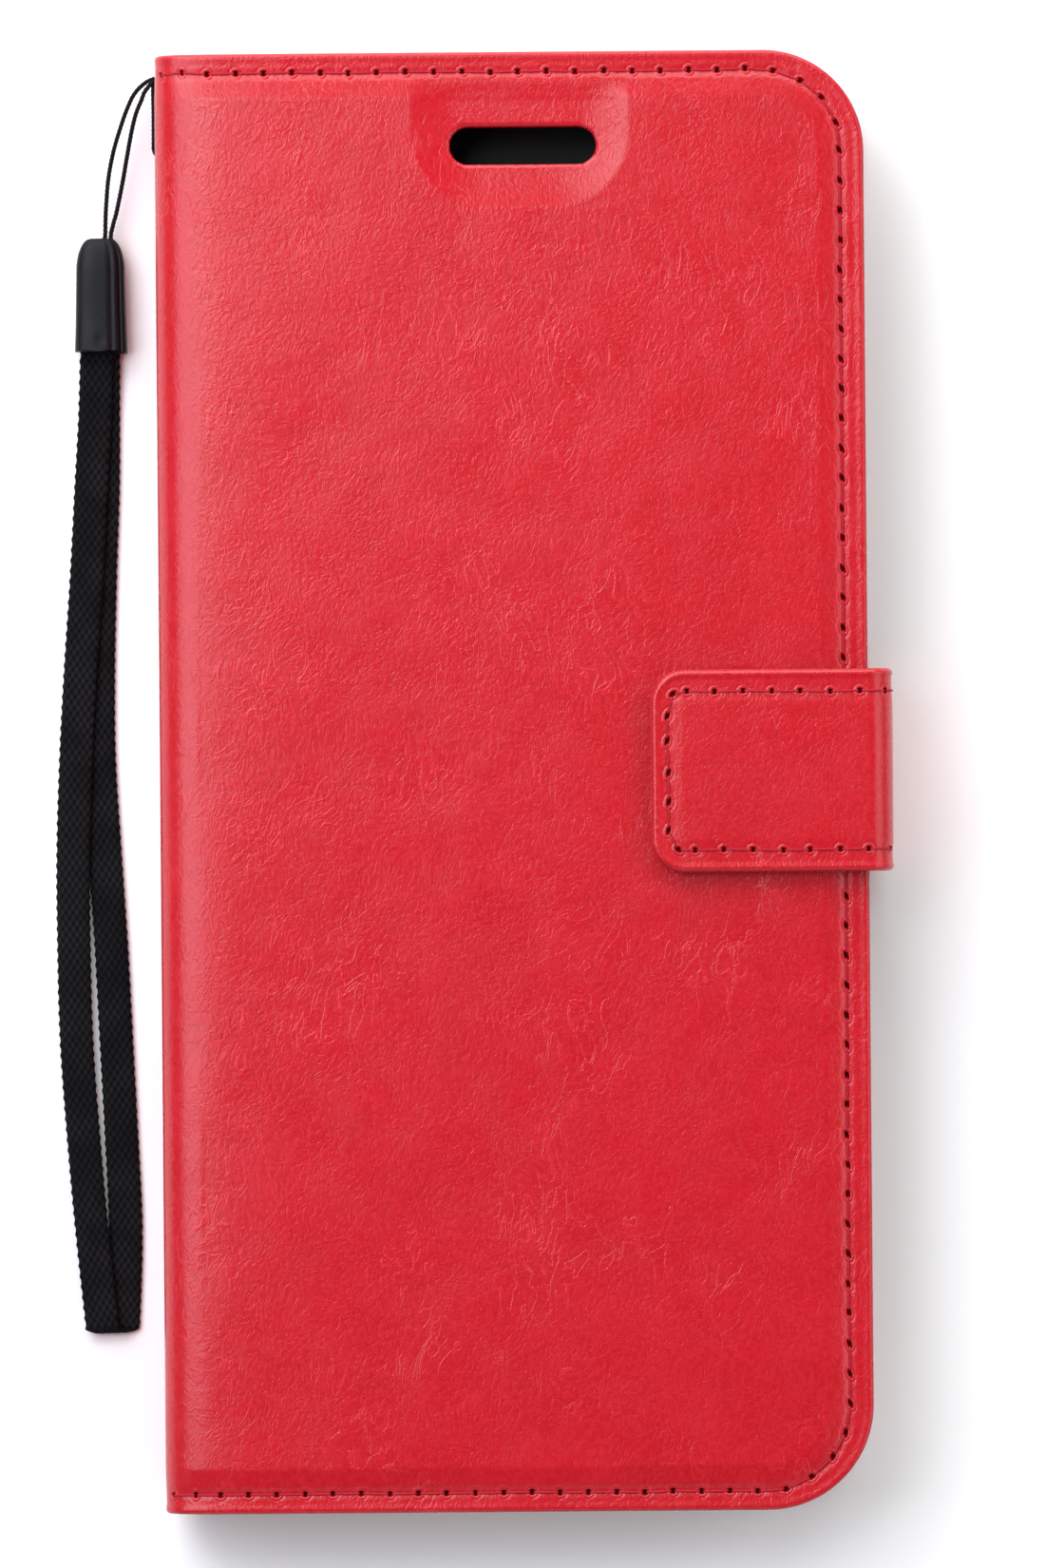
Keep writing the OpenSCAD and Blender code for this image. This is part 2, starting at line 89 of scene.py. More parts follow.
# The clasp, whose leather reaches a little past the CAD model's lower edge
TAB_LOW, TAB_HIGH = box_mm("tab_outer_skin")
CLASP_OVERLAP = 0.45
CLASP_Y = (TAB_LOW[1] + TAB_HIGH[1] - CLASP_OVERLAP) / 2
CLASP_W = TAB_HIGH[1] - TAB_LOW[1] + CLASP_OVERLAP
CLASP_X = box_mm("strap_outer_skin")[1][0]
TAB_TOP = TAB_HIGH[2]
TAB_UNDER = box_mm("tab_lining")[0][2]
TAB_R = 3.8
CLASP_R = 2.8
CLASP_SKIN = 0.7
CLASP_T = 1.3
CLASP_Z0 = 0.6
# Its length: the part under the back's margin, each bend's arc, the side wall, and the flat of the tab
CLASP_START_X = EDGE_X - 3.7
CLASP_RUN_IN = CLASP_X - CLASP_R - CLASP_START_X
CLASP_ARC = CLASP_R * math.pi / 2
CLASP_SIDE = TAB_TOP - CLASP_Z0 - 2 * CLASP_R
CLASP_BEND = CLASP_RUN_IN + CLASP_ARC + CLASP_SIDE
CLASP_FLAT = CLASP_RUN_IN + 2 * CLASP_ARC + CLASP_SIDE
CLASP_END = CLASP_FLAT + CLASP_X - CLASP_R - TAB_LOW[0]

# The wrist strap
CAP_LOW, CAP_HIGH = box_mm("lanyard_cap")
WEB_W = 3.95
WEB_T = 0.85
WEB_STEP = 0.17
WEB_COLUMNS = 31
# The weave's diamonds along and across the tape, half their depth, and the pitch of its scalloped edge
WEAVE_ALONG = 1.26
WEAVE_ACROSS = 0.82
WEAVE_DEPTH = 0.06
SCALLOP = 1.2
# The thin cord: thickness, number of plies, and length of one full turn of a ply
CORD_D = 0.6
CORD_PLIES = 3
CORD_LAY = 1.5


# ---- mesh helpers

def smooth(a, b, x):
    t = np.clip((x - a) / (b - a), 0, 1)
    return t * t * (3 - 2 * t)


def new_object(name, verts_mm, faces, material, shade=True):
    mesh = bpy.data.meshes.new(name)
    mesh.from_pydata((np.asarray(verts_mm) * MM).tolist(), [], faces)
    mesh.validate()
    if shade:
        mesh.polygons.foreach_set("use_smooth", [True] * len(mesh.polygons))
    obj = bpy.data.objects.new(name, mesh)
    bpy.context.scene.collection.objects.link(obj)
    mesh.materials.append(material)
    return obj


def grid_faces(rows, cols, offset=0, wrap=False, flip=False):
    last = cols if wrap else cols - 1
    faces = []
    for i in range(rows - 1):
        for j in range(last):
            k = (j + 1) % cols
            quad = (i * cols + j, i * cols + k, (i + 1) * cols + k, (i + 1) * cols + j)
            faces.append(tuple(offset + v for v in (quad[::-1] if flip else quad)))
    return faces


def graded(start, stop, fine, coarse, width_start=5.0, width_stop=5.0):
    """Positions from start to stop, close together near both ends and wider apart between."""
    def ramp(width):
        edge = [0.0, 0.06, 0.16, 0.3, 0.46]
        return edge + list(np.arange(0.66, width, fine)) if width else [0.0]
    head = [start + v for v in ramp(width_start)]
    tail = [stop - v for v in ramp(width_stop)][::-1]
    count = max(2, int(round((tail[0] - head[-1]) / coarse)))
    return np.array(head + list(np.linspace(head[-1], tail[0], count + 1)[1:-1]) + tail)


def unit(vectors):
    return vectors / np.maximum(np.linalg.norm(vectors, axis=1), 1e-9)[:, None]


def bell(x, centre, width):
    return np.exp(-((x - centre) / width) ** 2)


def rounding(d, r):
    """Depth of an edge rounded to radius r, at the distance d in from it."""
    return np.where(d < r, r - np.sqrt(np.clip(r ** 2 - (r - d) ** 2, 0, None)), 0)


def distances(points):
    """Distance along a path at each of its points."""
    return np.concatenate([[0], np.cumsum(np.linalg.norm(np.diff(points, axis=0), axis=1))])


def sideways(path):
    """Unit vectors across a path: one level, and one square to it."""
    tangents = unit(np.gradient(path, axis=0))
    side = np.cross(tangents, [0, 0, 1.0])
    side[np.linalg.norm(side, axis=1) < 1e-6] = [1, 0, 0]
    side = unit(side)
    return side, np.cross(side, tangents)


def tube_mesh(points, radii, sides):
    """Points and faces of a tube round a path, with closed ends."""
    side, up = sideways(points)
    angle = np.linspace(0, 2 * math.pi, sides, endpoint=False)[None, :, None]
    ring = np.cos(angle) * side[:, None] + np.sin(angle) * up[:, None]
    verts = (points[:, None] + radii[:, None, None] * ring).reshape(-1, 3)
    return verts, capped_tube(len(points), sides)


def capped_tube(rows, sides):
    faces = grid_faces(rows, sides, wrap=True)
    faces.append(tuple(range(sides))[::-1])
    faces.append(tuple((rows - 1) * sides + k for k in range(sides)))
    return faces


def free_edge(rows, cols):
    """A grid's points along its first column, its last row and its last column."""
    return ([i * cols for i in range(rows)] + [(rows - 1) * cols + j for j in range(1, cols)]
            + [i * cols + cols - 1 for i in range(rows - 2, -1, -1)])


def plate(name, top, low, material):
    """A sheet between two grids of points, closed all round. Returns it and how many faces its rim has."""
    rows, cols = top.shape[:2]
    n = rows * cols
    faces = grid_faces(rows, cols) + grid_faces(rows, cols, offset=n, flip=True)
    loop = free_edge(rows, cols) + list(range(cols - 2, 0, -1))
    faces += [(n + a, n + b, b, a) for a, b in zip(loop, loop[1:] + loop[:1])]
    return new_object(name, np.vstack([top.reshape(-1, 3), low.reshape(-1, 3)]), faces, material), len(loop)


def join_meshes(parts):
    verts, faces, offset = [], [], 0
    for v, f in parts:
        verts.append(np.asarray(v))
        faces += [tuple(offset + i for i in face) for face in f]
        offset += len(v)
    return np.vstack(verts), faces


def smooth_path(points, steps):
    """A curve through the points, the same one as the CAD model's."""
    p = [np.array(q, float) for q in points]
    out = []
    for i in range(len(p) - 1):
        a, b, c, d = p[max(i - 1, 0)], p[i], p[i + 1], p[min(i + 2, len(p) - 1)]
        for k in range(steps):
            t = k / steps
            out.append(0.5 * (2 * b + (c - a) * t + (2 * a - 5 * b + 4 * c - d) * t * t
                              + (3 * b - a - 3 * c + d) * t ** 3))
    out.append(p[-1])
    return np.array(out)


def resample(points, step):
    along = distances(points)
    count = max(2, int(round(along[-1] / step)))
    at = np.linspace(0, along[-1], count + 1)
    return np.stack([np.interp(at, along, points[:, k]) for k in range(3)], axis=1)


# ---- materials

def add_node(tree, kind, inputs, **settings):
    """A node with its settings and its inputs, each a socket or a value."""
    node = tree.nodes.new(kind)
    for key, value in settings.items():
        setattr(node, key, value)
    for key, value in inputs.items():
        if isinstance(value, bpy.types.NodeSocket):
            tree.links.new(value, node.inputs[key])
        elif value is not None:
            node.inputs[key].default_value = value
    return node


class Nodes:
    """Short forms for building a material's nodes."""

    def __init__(self, name, **fixed):
        self.material = bpy.data.materials.new(name)
        self.material.use_nodes = True
        self.tree = self.material.node_tree
        self.shader = self.tree.nodes["Principled BSDF"]
        self.coords = self.tree.nodes.new("ShaderNodeTexCoord").outputs["Object"]
        for key, value in fixed.items():
            self.shader.inputs[key.replace("_", " ")].default_value = value

    def add(self, kind, inputs, **settings):
        return add_node(self.tree, kind, inputs, **settings)

    def scaled(self, x, y, z):
        return self.add("ShaderNodeMapping", {"Vector": self.coords, "Scale": (x, y, z)}).outputs[0]

    def noise(self, scale, detail=3.0, vector=None, distortion=0.0, roughness=0.5):
        return self.add("ShaderNodeTexNoise", {
            "Vector": vector or self.coords, "Scale": scale, "Detail": detail,
            "Distortion": distortion, "Roughness": roughness}).outputs["Fac"]

    def ramp(self, value, low, high, start=0.0, stop=1.0):
        return self.add("ShaderNodeMapRange", {
            "Value": value, "From Min": low, "From Max": high, "To Min": start, "To Max": stop},
            interpolation_type="SMOOTHSTEP").outputs[0]

    def math(self, operation, a, b):
        return self.add("ShaderNodeMath", {0: a, 1: b}, operation=operation).outputs[0]

    def mix(self, factor, a, b):
        return self.add("ShaderNodeMix", {0: factor, 6: a, 7: b}, data_type="RGBA").outputs[2]

    def bump(self, height, distance, strength, normal=None):
        return self.add("ShaderNodeBump", {
            "Height": height, "Distance": distance, "Strength": strength, "Normal": normal}).outputs[0]

    def finish(self, color=None, roughness=None, normal=None):
        for name, socket in (("Base Color", color), ("Roughness", roughness), ("Normal", normal)):
            if socket is not None:
                self.tree.links.new(socket, self.shader.inputs[name])
        return self.material


def rgb(r, g, b):
    return (r, g, b, 1.0)


def slanted(n, amount, scale, degrees, squeeze):
    """Coordinates pushed about by a coarse noise, then turned and squeezed, so that a pattern wanders."""
    push = n.add("ShaderNodeTexNoise", {"Vector": n.coords, "Scale": scale, "Detail": 2.0}).outputs["Color"]
    centred = n.add("ShaderNodeVectorMath", {0: push, 1: (0.5, 0.5, 0.5)}, operation="SUBTRACT").outputs[0]
    scaled = n.add("ShaderNodeVectorMath", {0: centred, "Scale": amount}, operation="SCALE").outputs[0]
    warped = n.add("ShaderNodeVectorMath", {0: n.coords, 1: scaled}, operation="ADD").outputs[0]
    return n.add("ShaderNodeMapping", {
        "Vector": warped, "Rotation": (0.0, 0.0, math.radians(degrees)),
        "Scale": (1.0, squeeze, 1.0)}).outputs[0]


def red_leather(name, deep, base, pale, grain, roughness):
    """Coated leather: a fine wormy grain, pale pull-up wrinkles that come and go, and cloudy colour."""
    n = Nodes(name, IOR=1.5, Specular_IOR_Level=0.5)
    tilted = slanted(n, 0.006, 90.0, -32, 0.72)
    long_way = slanted(n, 0.008, 60.0, -36, 0.5)
    worms = n.noise(2100.0, 1.5, vector=tilted, distortion=0.9, roughness=0.5)
    wander = n.noise(420.0, 2.5, vector=long_way, distortion=0.8)
    ridge = n.math("ABSOLUTE", n.math("SUBTRACT", wander, 0.5), 0.0)
    where = n.ramp(n.noise(70.0, 4.0, distortion=0.8), 0.44, 0.66)
    wrinkles = n.math("MULTIPLY", n.ramp(ridge, 0.0, 0.030, 1.0, 0.0), where)
    cloud = n.ramp(n.noise(120.0, 6.0, distortion=0.5, roughness=0.65), 0.3, 0.7)
    color = n.mix(n.ramp(worms, 0.36, 0.66, 0.0, 0.28 * grain), n.mix(cloud, deep, base), pale)
    color = n.mix(n.math("MULTIPLY", wrinkles, 0.45 * grain), color, pale)
    normal = n.bump(worms, 0.00013 * grain, 0.35)
    normal = n.bump(wrinkles, 0.00004 * grain, 0.5, normal)
    normal = n.bump(n.noise(120.0, 2.0), 0.0006 * grain, 0.2, normal)
    rough = n.ramp(n.noise(180.0, 4.0), 0.25, 0.75, roughness - 0.02, roughness + 0.04)
    return n.finish(color, rough, normal)


def two_tone(name, noise, dark, pale, rough, bump=None, grit=None, span=(0.2, 0.8), stretch=(1, 1, 1), **fixed):
    """A material between two tones, by a noise of (scale, detail).

    bump is (distance, strength), made from the same noise or from grit. span is the noise's range for rough."""
    n = Nodes(name, **fixed)
    tone = n.noise(*noise, vector=n.scaled(*stretch))
    normal = n.bump(n.noise(*grit) if grit else tone, *bump) if bump else None
    return n.finish(n.mix(tone, rgb(*dark), rgb(*pale)), n.ramp(tone, *span, *rough), normal)


def make_braid():
    """Black braided yarn."""
    n = Nodes("cord_yarn", Sheen_Weight=0.03, Sheen_Roughness=0.5, Specular_IOR_Level=0.12)
    fuzz = n.noise(7800.0, 3.0)
    yarn = n.noise(2600.0, 3.0, vector=n.scaled(1.0, 0.5, 1.0))
    color = n.mix(n.ramp(yarn, 0.3, 0.7), rgb(0.002, 0.002, 0.0025), rgb(0.008, 0.008, 0.0095))
    height = n.math("ADD", yarn, n.math("MULTIPLY", fuzz, 0.5))
    return n.finish(color, n.ramp(fuzz, 0.2, 0.8, 0.6, 0.85), n.bump(height, 0.0001, 0.7))


def make_weave_with_highlights():
    """Black woven tape: painted highlights where the mesh's yarn attribute says a yarn lies on top, painted
    shade below.
    """
    n = Nodes("webbing_yarn_highlights", Sheen_Weight=0.01, Sheen_Roughness=0.5, Specular_IOR_Level=0.05)
    fuzz = n.noise(5700.0, 3.0)
    # The raised yarns get a painted highlight and the hollows a painted shade, faded here and there by a noise
    yarn_highlight = n.add("ShaderNodeAttribute", {}, attribute_name="yarn").outputs["Fac"]
    pale = n.math("MULTIPLY", yarn_highlight, n.ramp(n.noise(250.0, 2.0), 0.3, 0.7, 0.5, 1.0))
    color = n.mix(pale, rgb(0.001, 0.001, 0.0013), rgb(0.016, 0.016, 0.018))
    return n.finish(color, n.ramp(fuzz, 0.2, 0.8, 0.6, 0.85), n.bump(fuzz, 0.00006, 0.7))


LEATHER = red_leather("red_leather", rgb(0.428, 0.002, 0.0085), rgb(0.462, 0.003, 0.0115),
                      rgb(0.60, 0.018, 0.031), 1.0, 0.27)
LINING = red_leather("red_lining", rgb(0.30, 0.003, 0.007), rgb(0.34, 0.005, 0.010),
                     rgb(0.42, 0.02, 0.03), 0.5, 0.48)
THREAD = two_tone("thread", (2400.0, 2.0), (0.30, 0.002, 0.009), (0.46, 0.008, 0.024), (0.5, 0.75),
                  (0.00012, 0.8), Specular_IOR_Level=0.25)
# Needle holes: a dark red that is painted shade, standing in for the depth of a hole through the leather
HOLE_SHADE = two_tone("stitch_hole_painted_shade", (1800.0, 2.0), (0.10, 0.0, 0.001), (0.20, 0.001, 0.004), (0.75, 0.95),
                Specular_IOR_Level=0.15)
EDGE_DYE = two_tone("edge_dye", (900.0, 3.0), (0.10, 0.002, 0.004), (0.17, 0.004, 0.008), (0.4, 0.6),
                    (0.00005, 0.5), stretch=(0.3, 0.3, 1.0), Specular_IOR_Level=0.3)
BOARD = two_tone("board", (700.0, 5.0), (0.16, 0.15, 0.14), (0.32, 0.30, 0.28), (0.75, 0.95),
                 (0.0002, 0.5), stretch=(1.0, 0.15, 1.0), Specular_IOR_Level=0.2)
# The phone tray's black plastic, darkened further as painted shade for the deep ear slot it is seen through
TRAY_WITH_SLOT_SHADE = two_tone("tray_plastic_slot_shade", (45.0, 3.0), (0.002, 0.002, 0.0024), (0.004, 0.004, 0.0046), (0.3, 0.46),
                (0.00002, 0.6), (3200.0, 3.0), (0.3, 0.7), IOR=1.48, Specular_IOR_Level=0.2)
METAL = dict(noise=(900.0, 4.0), rough=(0.25, 0.45), bump=(0.00003, 0.5), stretch=(1.0, 0.06, 1.0),
             Metallic=1.0)
STEEL = two_tone("keeper_steel", dark=(0.4125, 0.4125, 0.4275), pale=(0.55, 0.55, 0.57), **METAL)
NICKEL = two_tone("magnet_nickel", dark=(0.54, 0.525, 0.495), pale=(0.72, 0.70, 0.66), **METAL)
CAP = two_tone("cap_plastic", (260.0, 4.0), (0.004, 0.004, 0.005), (0.008, 0.008, 0.010), (0.36, 0.5),
               (0.00003, 0.6), (4200.0, 2.0), (0.3, 0.7), Specular_IOR_Level=0.16)
CORD = make_braid()
WEB_WITH_HIGHLIGHTS = make_weave_with_highlights()


# ---- camera and wrist strap

PHOTO_ROLL = math.radians(-0.48)
# Height of the picture at the top of the case, seen through a long lens
FRAME_HEIGHT = 177.1 * MM
LENS = 300.0
SENSOR = 36.0

camera_data = bpy.data.cameras.new("camera")
camera_data.lens = LENS
camera_data.sensor_width = SENSOR
camera = bpy.data.objects.new("camera", camera_data)
bpy.context.scene.collection.objects.link(camera)
camera.location = (-0.42 * MM, -0.24 * MM, TOP_Z * MM + FRAME_HEIGHT * LENS / SENSOR)
camera.rotation_euler = (0, 0, PHOTO_ROLL)
camera_data.clip_end = 20
bpy.context.scene.camera = camera

# The cord's two strands, from the punched hole to the cap, and its turn inside the cap
CORD_LEFT = [
    (-42.8, 80.0, 4.2), (-44.0, 78.8, 4.1), (-44.9, 77.0, 3.9), (-45.7, 74.8, 3.6), (-46.5, 72.2, 3.2),
    (-47.1, 69.2, 2.8), (-47.4, 66.0, 2.4), (-47.5, 64.2, 2.2), (-47.6, 62.4, 2.0),
]
CORD_RIGHT = [
    (-42.8, 79.0, 4.8), (-43.2, 78.0, 4.8), (-43.8, 76.6, 4.6), (-44.3, 74.8, 4.1), (-44.9, 71.8, 3.6),
    (-45.5, 68.6, 3.1), (-46.2, 65.4, 2.6), (-46.6, 64.0, 2.3), (-46.9, 62.4, 2.0),
]
# The strands run on from there into the hole, and turn round inside the cap
CORD_IN_LEFT = (-41.7, 80.5, 4.3)
CORD_IN_RIGHT = (-41.9, 80.1, 4.8)
CORD_TURN = [(-48.3, 60.4, 2.0), (-48.7, 58.6, 2.0), (-47.3, 57.2, 2.0), (-45.9, 58.6, 2.0), (-46.3, 60.4, 2.0)]
# The woven loop's two runs, from the cap to the fold
WEB_LEFT = [
    (-48.6, 49.5), (-48.9, 42), (-49.4, 34), (-50, 24), (-50.8, 13), (-51.4, 3), (-51.8, -8),
    (-51.8, -18), (-51.6, -29), (-50.9, -40), (-50, -51), (-48.9, -62),
]
WEB_RIGHT = [
    (-47.9, 49.5), (-48, 42), (-48.1, 34), (-48.5, 24), (-48.8, 13), (-48.8, 3), (-48.2, -8),
    (-47.6, -18), (-47.1, -29), (-46.6, -40), (-46.2, -51), (-46.6, -62),
]
# The runs' ends inside the cap
WEB_IN_LEFT = [(-48.1, 54.0, 2.0), (-48.3, 51.5, 1.8)]
WEB_IN_RIGHT = [(-47.8, 51.5, 1.5), (-47.8, 54.0, 1.7)]


def stand_for(obj, body, node):
    """Declares a piece that rides on one body and stands for one CAD node."""
    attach(obj, body)
    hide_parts(node)


def free_cord(path):
    length = round(float(distances(path)[-1]) * MM, 3)
    [tuple(p * MM) for p in path]


def laid_cord(path, name):
    """A cord laid up from plies that wind round its path."""
    side, up = sideways(path)
    parts = []
    for ply in range(CORD_PLIES):
        angle = 2 * math.pi * (distances(path) / CORD_LAY + ply / CORD_PLIES)
        centre = path + 0.21 * CORD_D * (np.cos(angle)[:, None] * side + np.sin(angle)[:, None] * up)
        parts.append(tube_mesh(centre, np.full(len(path), 0.24 * CORD_D), 6))
    return new_object(name, *join_meshes(parts), CORD)


def make_wrist_cord():
    route = [CORD_IN_LEFT] + CORD_LEFT + CORD_TURN + CORD_RIGHT[::-1] + [CORD_IN_RIGHT]
    path = resample(smooth_path(route, 10), 0.16)
    cord = laid_cord(path, "wrist_cord")
    stand_for(cord, "wrist_strap", "lanyard_cord")
    free_cord(path)


def webbing_path():
    """Centre line of the tape: down the left run, round the fold and up the right run, which lies under it."""
    upper_z = 1.5 * WEB_T + 0.05
    lower_z = 0.5 * WEB_T
    left = [(x, y, upper_z + 0.35 * max(0.0, (y - 40) / 10)) for x, y in WEB_LEFT]
    right = [(x, y, lower_z + 0.75 * max(0.0, (y - 40) / 10)) for x, y in WEB_RIGHT[::-1]]
    down = resample(smooth_path(WEB_IN_LEFT + left, 8), WEB_STEP)
    back = resample(smooth_path(right + WEB_IN_RIGHT, 8), WEB_STEP)
    x0, fold_y = WEB_LEFT[-1]
    width = WEB_RIGHT[-1][0] - x0
    turn_r = (upper_z - lower_z) / 2
    turn = [(x0 + width * k / 8, fold_y - turn_r * 0.9 * math.sin(math.pi * k / 8),
             lower_z + turn_r + turn_r * math.cos(math.pi * k / 8)) for k in range(1, 8)]
    return np.vstack([down, turn, back]), len(down), len(turn)


def make_webbing():
    path, n_left, n_turn = webbing_path()
    tangents = unit(np.gradient(path, axis=0))
    # Across the tape is level, and keeps its side as the tape turns over at the fold
    across = unit(np.cross([0, 0, 1.0], tangents * [1, 1, 0]))
    right = n_left + n_turn
    across[right:] *= -1
    # The last rows before and after the fold stay square to their own run
    across[n_left - 2:n_left] = across[n_left - 3]
    across[right:right + 2] = across[right + 2]
    share = np.linspace(0, 1, n_turn + 2)[1:-1, None]
    across[n_left:right] = across[n_left - 1] + (across[right] - across[n_left - 1]) * share
    across = unit(across)
    normal = np.cross(across, tangents)
    along = distances(path)[:, None]
    v = np.linspace(-1, 1, WEB_COLUMNS)[None]
    # Yarns cross over each other in staggered diamonds
    weave = (np.cos(along * 2 * math.pi / WEAVE_ALONG)
             * np.cos(v * WEB_W / 2 * 2 * math.pi / WEAVE_ACROSS))
    scallop = 1 - 0.045 * (1 + np.sin(along * 2 * math.pi / SCALLOP)) * (np.abs(v) > 0.95)
    level = path[:, None] + across[:, None] * (v * WEB_W / 2 * scallop)[..., None]
    thick = WEB_T / 2 * (1 - 0.75 * np.abs(v) ** 7) - WEAVE_DEPTH + WEAVE_DEPTH * weave
    lift = normal[:, None] * thick[..., None]
    rows, columns = weave.shape
    n = rows * columns
    faces = grid_faces(rows, columns) + grid_faces(rows, columns, offset=n, flip=True)
    for i in range(rows - 1):
        a, b = i * columns, (i + 1) * columns
        c, d = a + columns - 1, b + columns - 1
        faces += [(a, b, b + n, a + n), (c + n, d + n, d, c)]
    verts = np.vstack([(level + lift).reshape(-1, 3), (level - lift).reshape(-1, 3)])
    web = new_object("woven_loop", verts, faces, WEB_WITH_HIGHLIGHTS)
    # The weave's height, kept for the material's painted highlights on the raised yarns
    yarn = web.data.attributes.new("yarn", "FLOAT", "POINT")
    yarn.data.foreach_set("value", np.tile(0.5 + 0.5 * weave.ravel(), 2))
    stand_for(web, "wrist_strap", "lanyard_webbing")
    free_cord(path)


def make_cap_piece():
    """The moulded cap: round shoulders, two grooves beside the right edge, a dimple and an open mouth."""
    half_w, length, height = (CAP_HIGH - CAP_LOW) * [0.5, 1, 1]
    centre_x = (CAP_LOW[0] + CAP_HIGH[0]) / 2
    centre_z = height / 2
    neck = 0.72
    stations = np.concatenate([[0, 0.0], np.linspace(0.0, neck, 44), np.linspace(0.73, 1.0, 38)])
    sides = 104
    angle = np.linspace(0, 2 * math.pi, sides, endpoint=False)
    c, s = np.cos(angle), np.sin(angle)
    # A power below 1 squares up the round section
    round_x = np.sign(c) * np.abs(c) ** 0.62
    round_z = np.sign(s) * np.abs(s) ** 0.62
    verts = []
    for i, f in enumerate(stations):
        shoulder = math.sqrt(max(0.0, 1 - ((f - neck) / (1 - neck)) ** 2)) if f > neck else 1.0
        taper = 0.96 - 0.05 * f + 0.04 * (1 - f) ** 4
        width = half_w * taper * (0.42 + 0.58 * shoulder)
        depth = centre_z * 0.97 * taper * (0.40 + 0.60 * shoulder)
        if i == 0:
            width, depth = width * 0.62, depth * 0.42
        x, z = round_x * width, round_z * depth
        groove = 0.6 * bell(x, 0.43 * width, 0.24) + bell(x, 0.77 * width, 0.18)
        z -= np.sign(s) * 0.22 * groove * (np.abs(s) > 0.25) * shoulder
        z -= 0.34 * bell(x, -0.2, 0.2) * bell(f * length, 1.3, 0.55) * (s > 0.3)
        # The mouth's right half reaches a little lower
        y = CAP_LOW[1] + f * length - 0.25 * (c > 0.5) * (f < 0.02)
        verts.append(np.stack([centre_x + x, y, centre_z + z], axis=1))
    cap = new_object("strap_cap", np.vstack(verts), capped_tube(len(stations), sides), CAP)
    stand_for(cap, "wrist_strap", "lanyard_cap")


make_wrist_cord()
make_webbing()
make_cap_piece()


# ---- the seam round a cover

def seam_points():
    """Places along a cover's stitch line, each with its direction, from the spine round to the spine."""
    x1, y1, rt, rb = SEAM
    parts = [
        (x1 - rt - SEAM_START, lambda t: (SEAM_START + t, y1, 0.0)),
        (math.pi / 2 * rt, lambda t: (x1 - rt + rt * math.sin(t / rt), y1 - rt + rt * math.cos(t / rt),
                                      -t / rt)),
        (2 * y1 - rt - rb, lambda t: (x1, y1 - rt - t, -math.pi / 2)),
        (math.pi / 2 * rb, lambda t: (x1 - rb + rb * math.cos(t / rb), -y1 + rb - rb * math.sin(t / rb),
                                      -math.pi / 2 - t / rb)),
        (x1 - rb - SEAM_START, lambda t: (x1 - rb - t, -y1, -math.pi)),
    ]
    s, out = 0.0, []
    while s < sum(length for length, _ in parts):
        t, part = s, 0
        while part < 4 and t > parts[part][0]:
            t -= parts[part][0]
            part += 1
        out.append(parts[part][1](t))
        s += SIDE_PITCH if part == 2 else STITCH_PITCH
    return out


def corners(x, y, outline):
    """The two round corners of an outline: radius, side, centre, and which points lie in the corner."""
    edge_x, half_h, rt, rb = outline
    for r, top in ((rt, 1), (rb, -1)):
        cx, cy = edge_x - r, top * (half_h - r)
        yield r, top, cx, cy, (x > cx) & (top * (y - cy) > 0)


def seam_distance(x, y):
    """Distance from the stitch line, with the line taken as open on the spine side."""
    out = np.minimum(np.abs(np.abs(y) - SEAM[1]), np.abs(x - SEAM[0]))
    for r, _, cx, cy, zone in corners(x, y, SEAM):
        out = np.where(zone, np.abs(np.hypot(x - cx, y - cy) - r), out)
    return out


# ---- cover sheets

def section(s):
    """Point and outward normal at distance s up the spine's wall, over its edge and across the cover."""
    a = np.clip((s - S_ARC) / FOLD_R, 0, math.pi / 2)
    x = SPINE_X + FOLD_R * (1 - np.cos(a)) + np.maximum(s - S_ARC - FOLD_R * math.pi / 2, 0)
    z = MID_Z + np.minimum(s, S_ARC) + FOLD_R * np.sin(a)
    return x, z, -np.cos(a), np.sin(a)


def round_corners(x, y, outline):
    """Moves grid points of a square-cornered sheet so that its free corners are round."""
    new_x, new_y = x.copy(), y.copy()
    for r, top, cx, cy, zone in corners(x, y, outline):
        u = (x - cx) / r
        v = top * (y - cy) / r
        new_x = np.where(zone, cx + u * np.sqrt(np.clip(1 - v * v / 2, 0, 1)) * r, new_x)
        new_y = np.where(zone, cy + top * v * np.sqrt(np.clip(1 - u * u / 2, 0, 1)) * r, new_y)
    return new_x, new_y


def edge_distance(x, y, outline):
    """Distance in from the free outline."""
    d = np.minimum(outline[1] - np.abs(y), outline[0] - x)
    for r, _, cx, cy, zone in corners(x, y, outline):
        d = np.where(zone, r - np.hypot(x - cx, y - cy), d)
    return d


def outward(x, y, outline):
    """Outward direction in plan on the outline."""
    nx = np.where(outline[0] - x < 0.02, 1.0, 0.0)
    ny = np.where(outline[1] - np.abs(y) < 0.02, np.sign(y), 0.0)
    for r, _, cx, cy, zone in corners(x, y, outline):
        nx = np.where(zone, (x - cx) / r, nx)
        ny = np.where(zone, (y - cy) / r, ny)
    length = np.maximum(np.hypot(nx, ny), 1e-9)
    return nx / length, ny / length


def round_box(x, y, centre, half, r):
    """Signed distance from a box with round corners, or from a slot when r is half its width."""
    qx = np.abs(x - centre[0]) - half[0] + r
    qy = np.abs(y - centre[1]) - half[1] + r
    return np.hypot(np.maximum(qx, 0), np.maximum(qy, 0)) + np.minimum(np.maximum(qx, qy), 0) - r


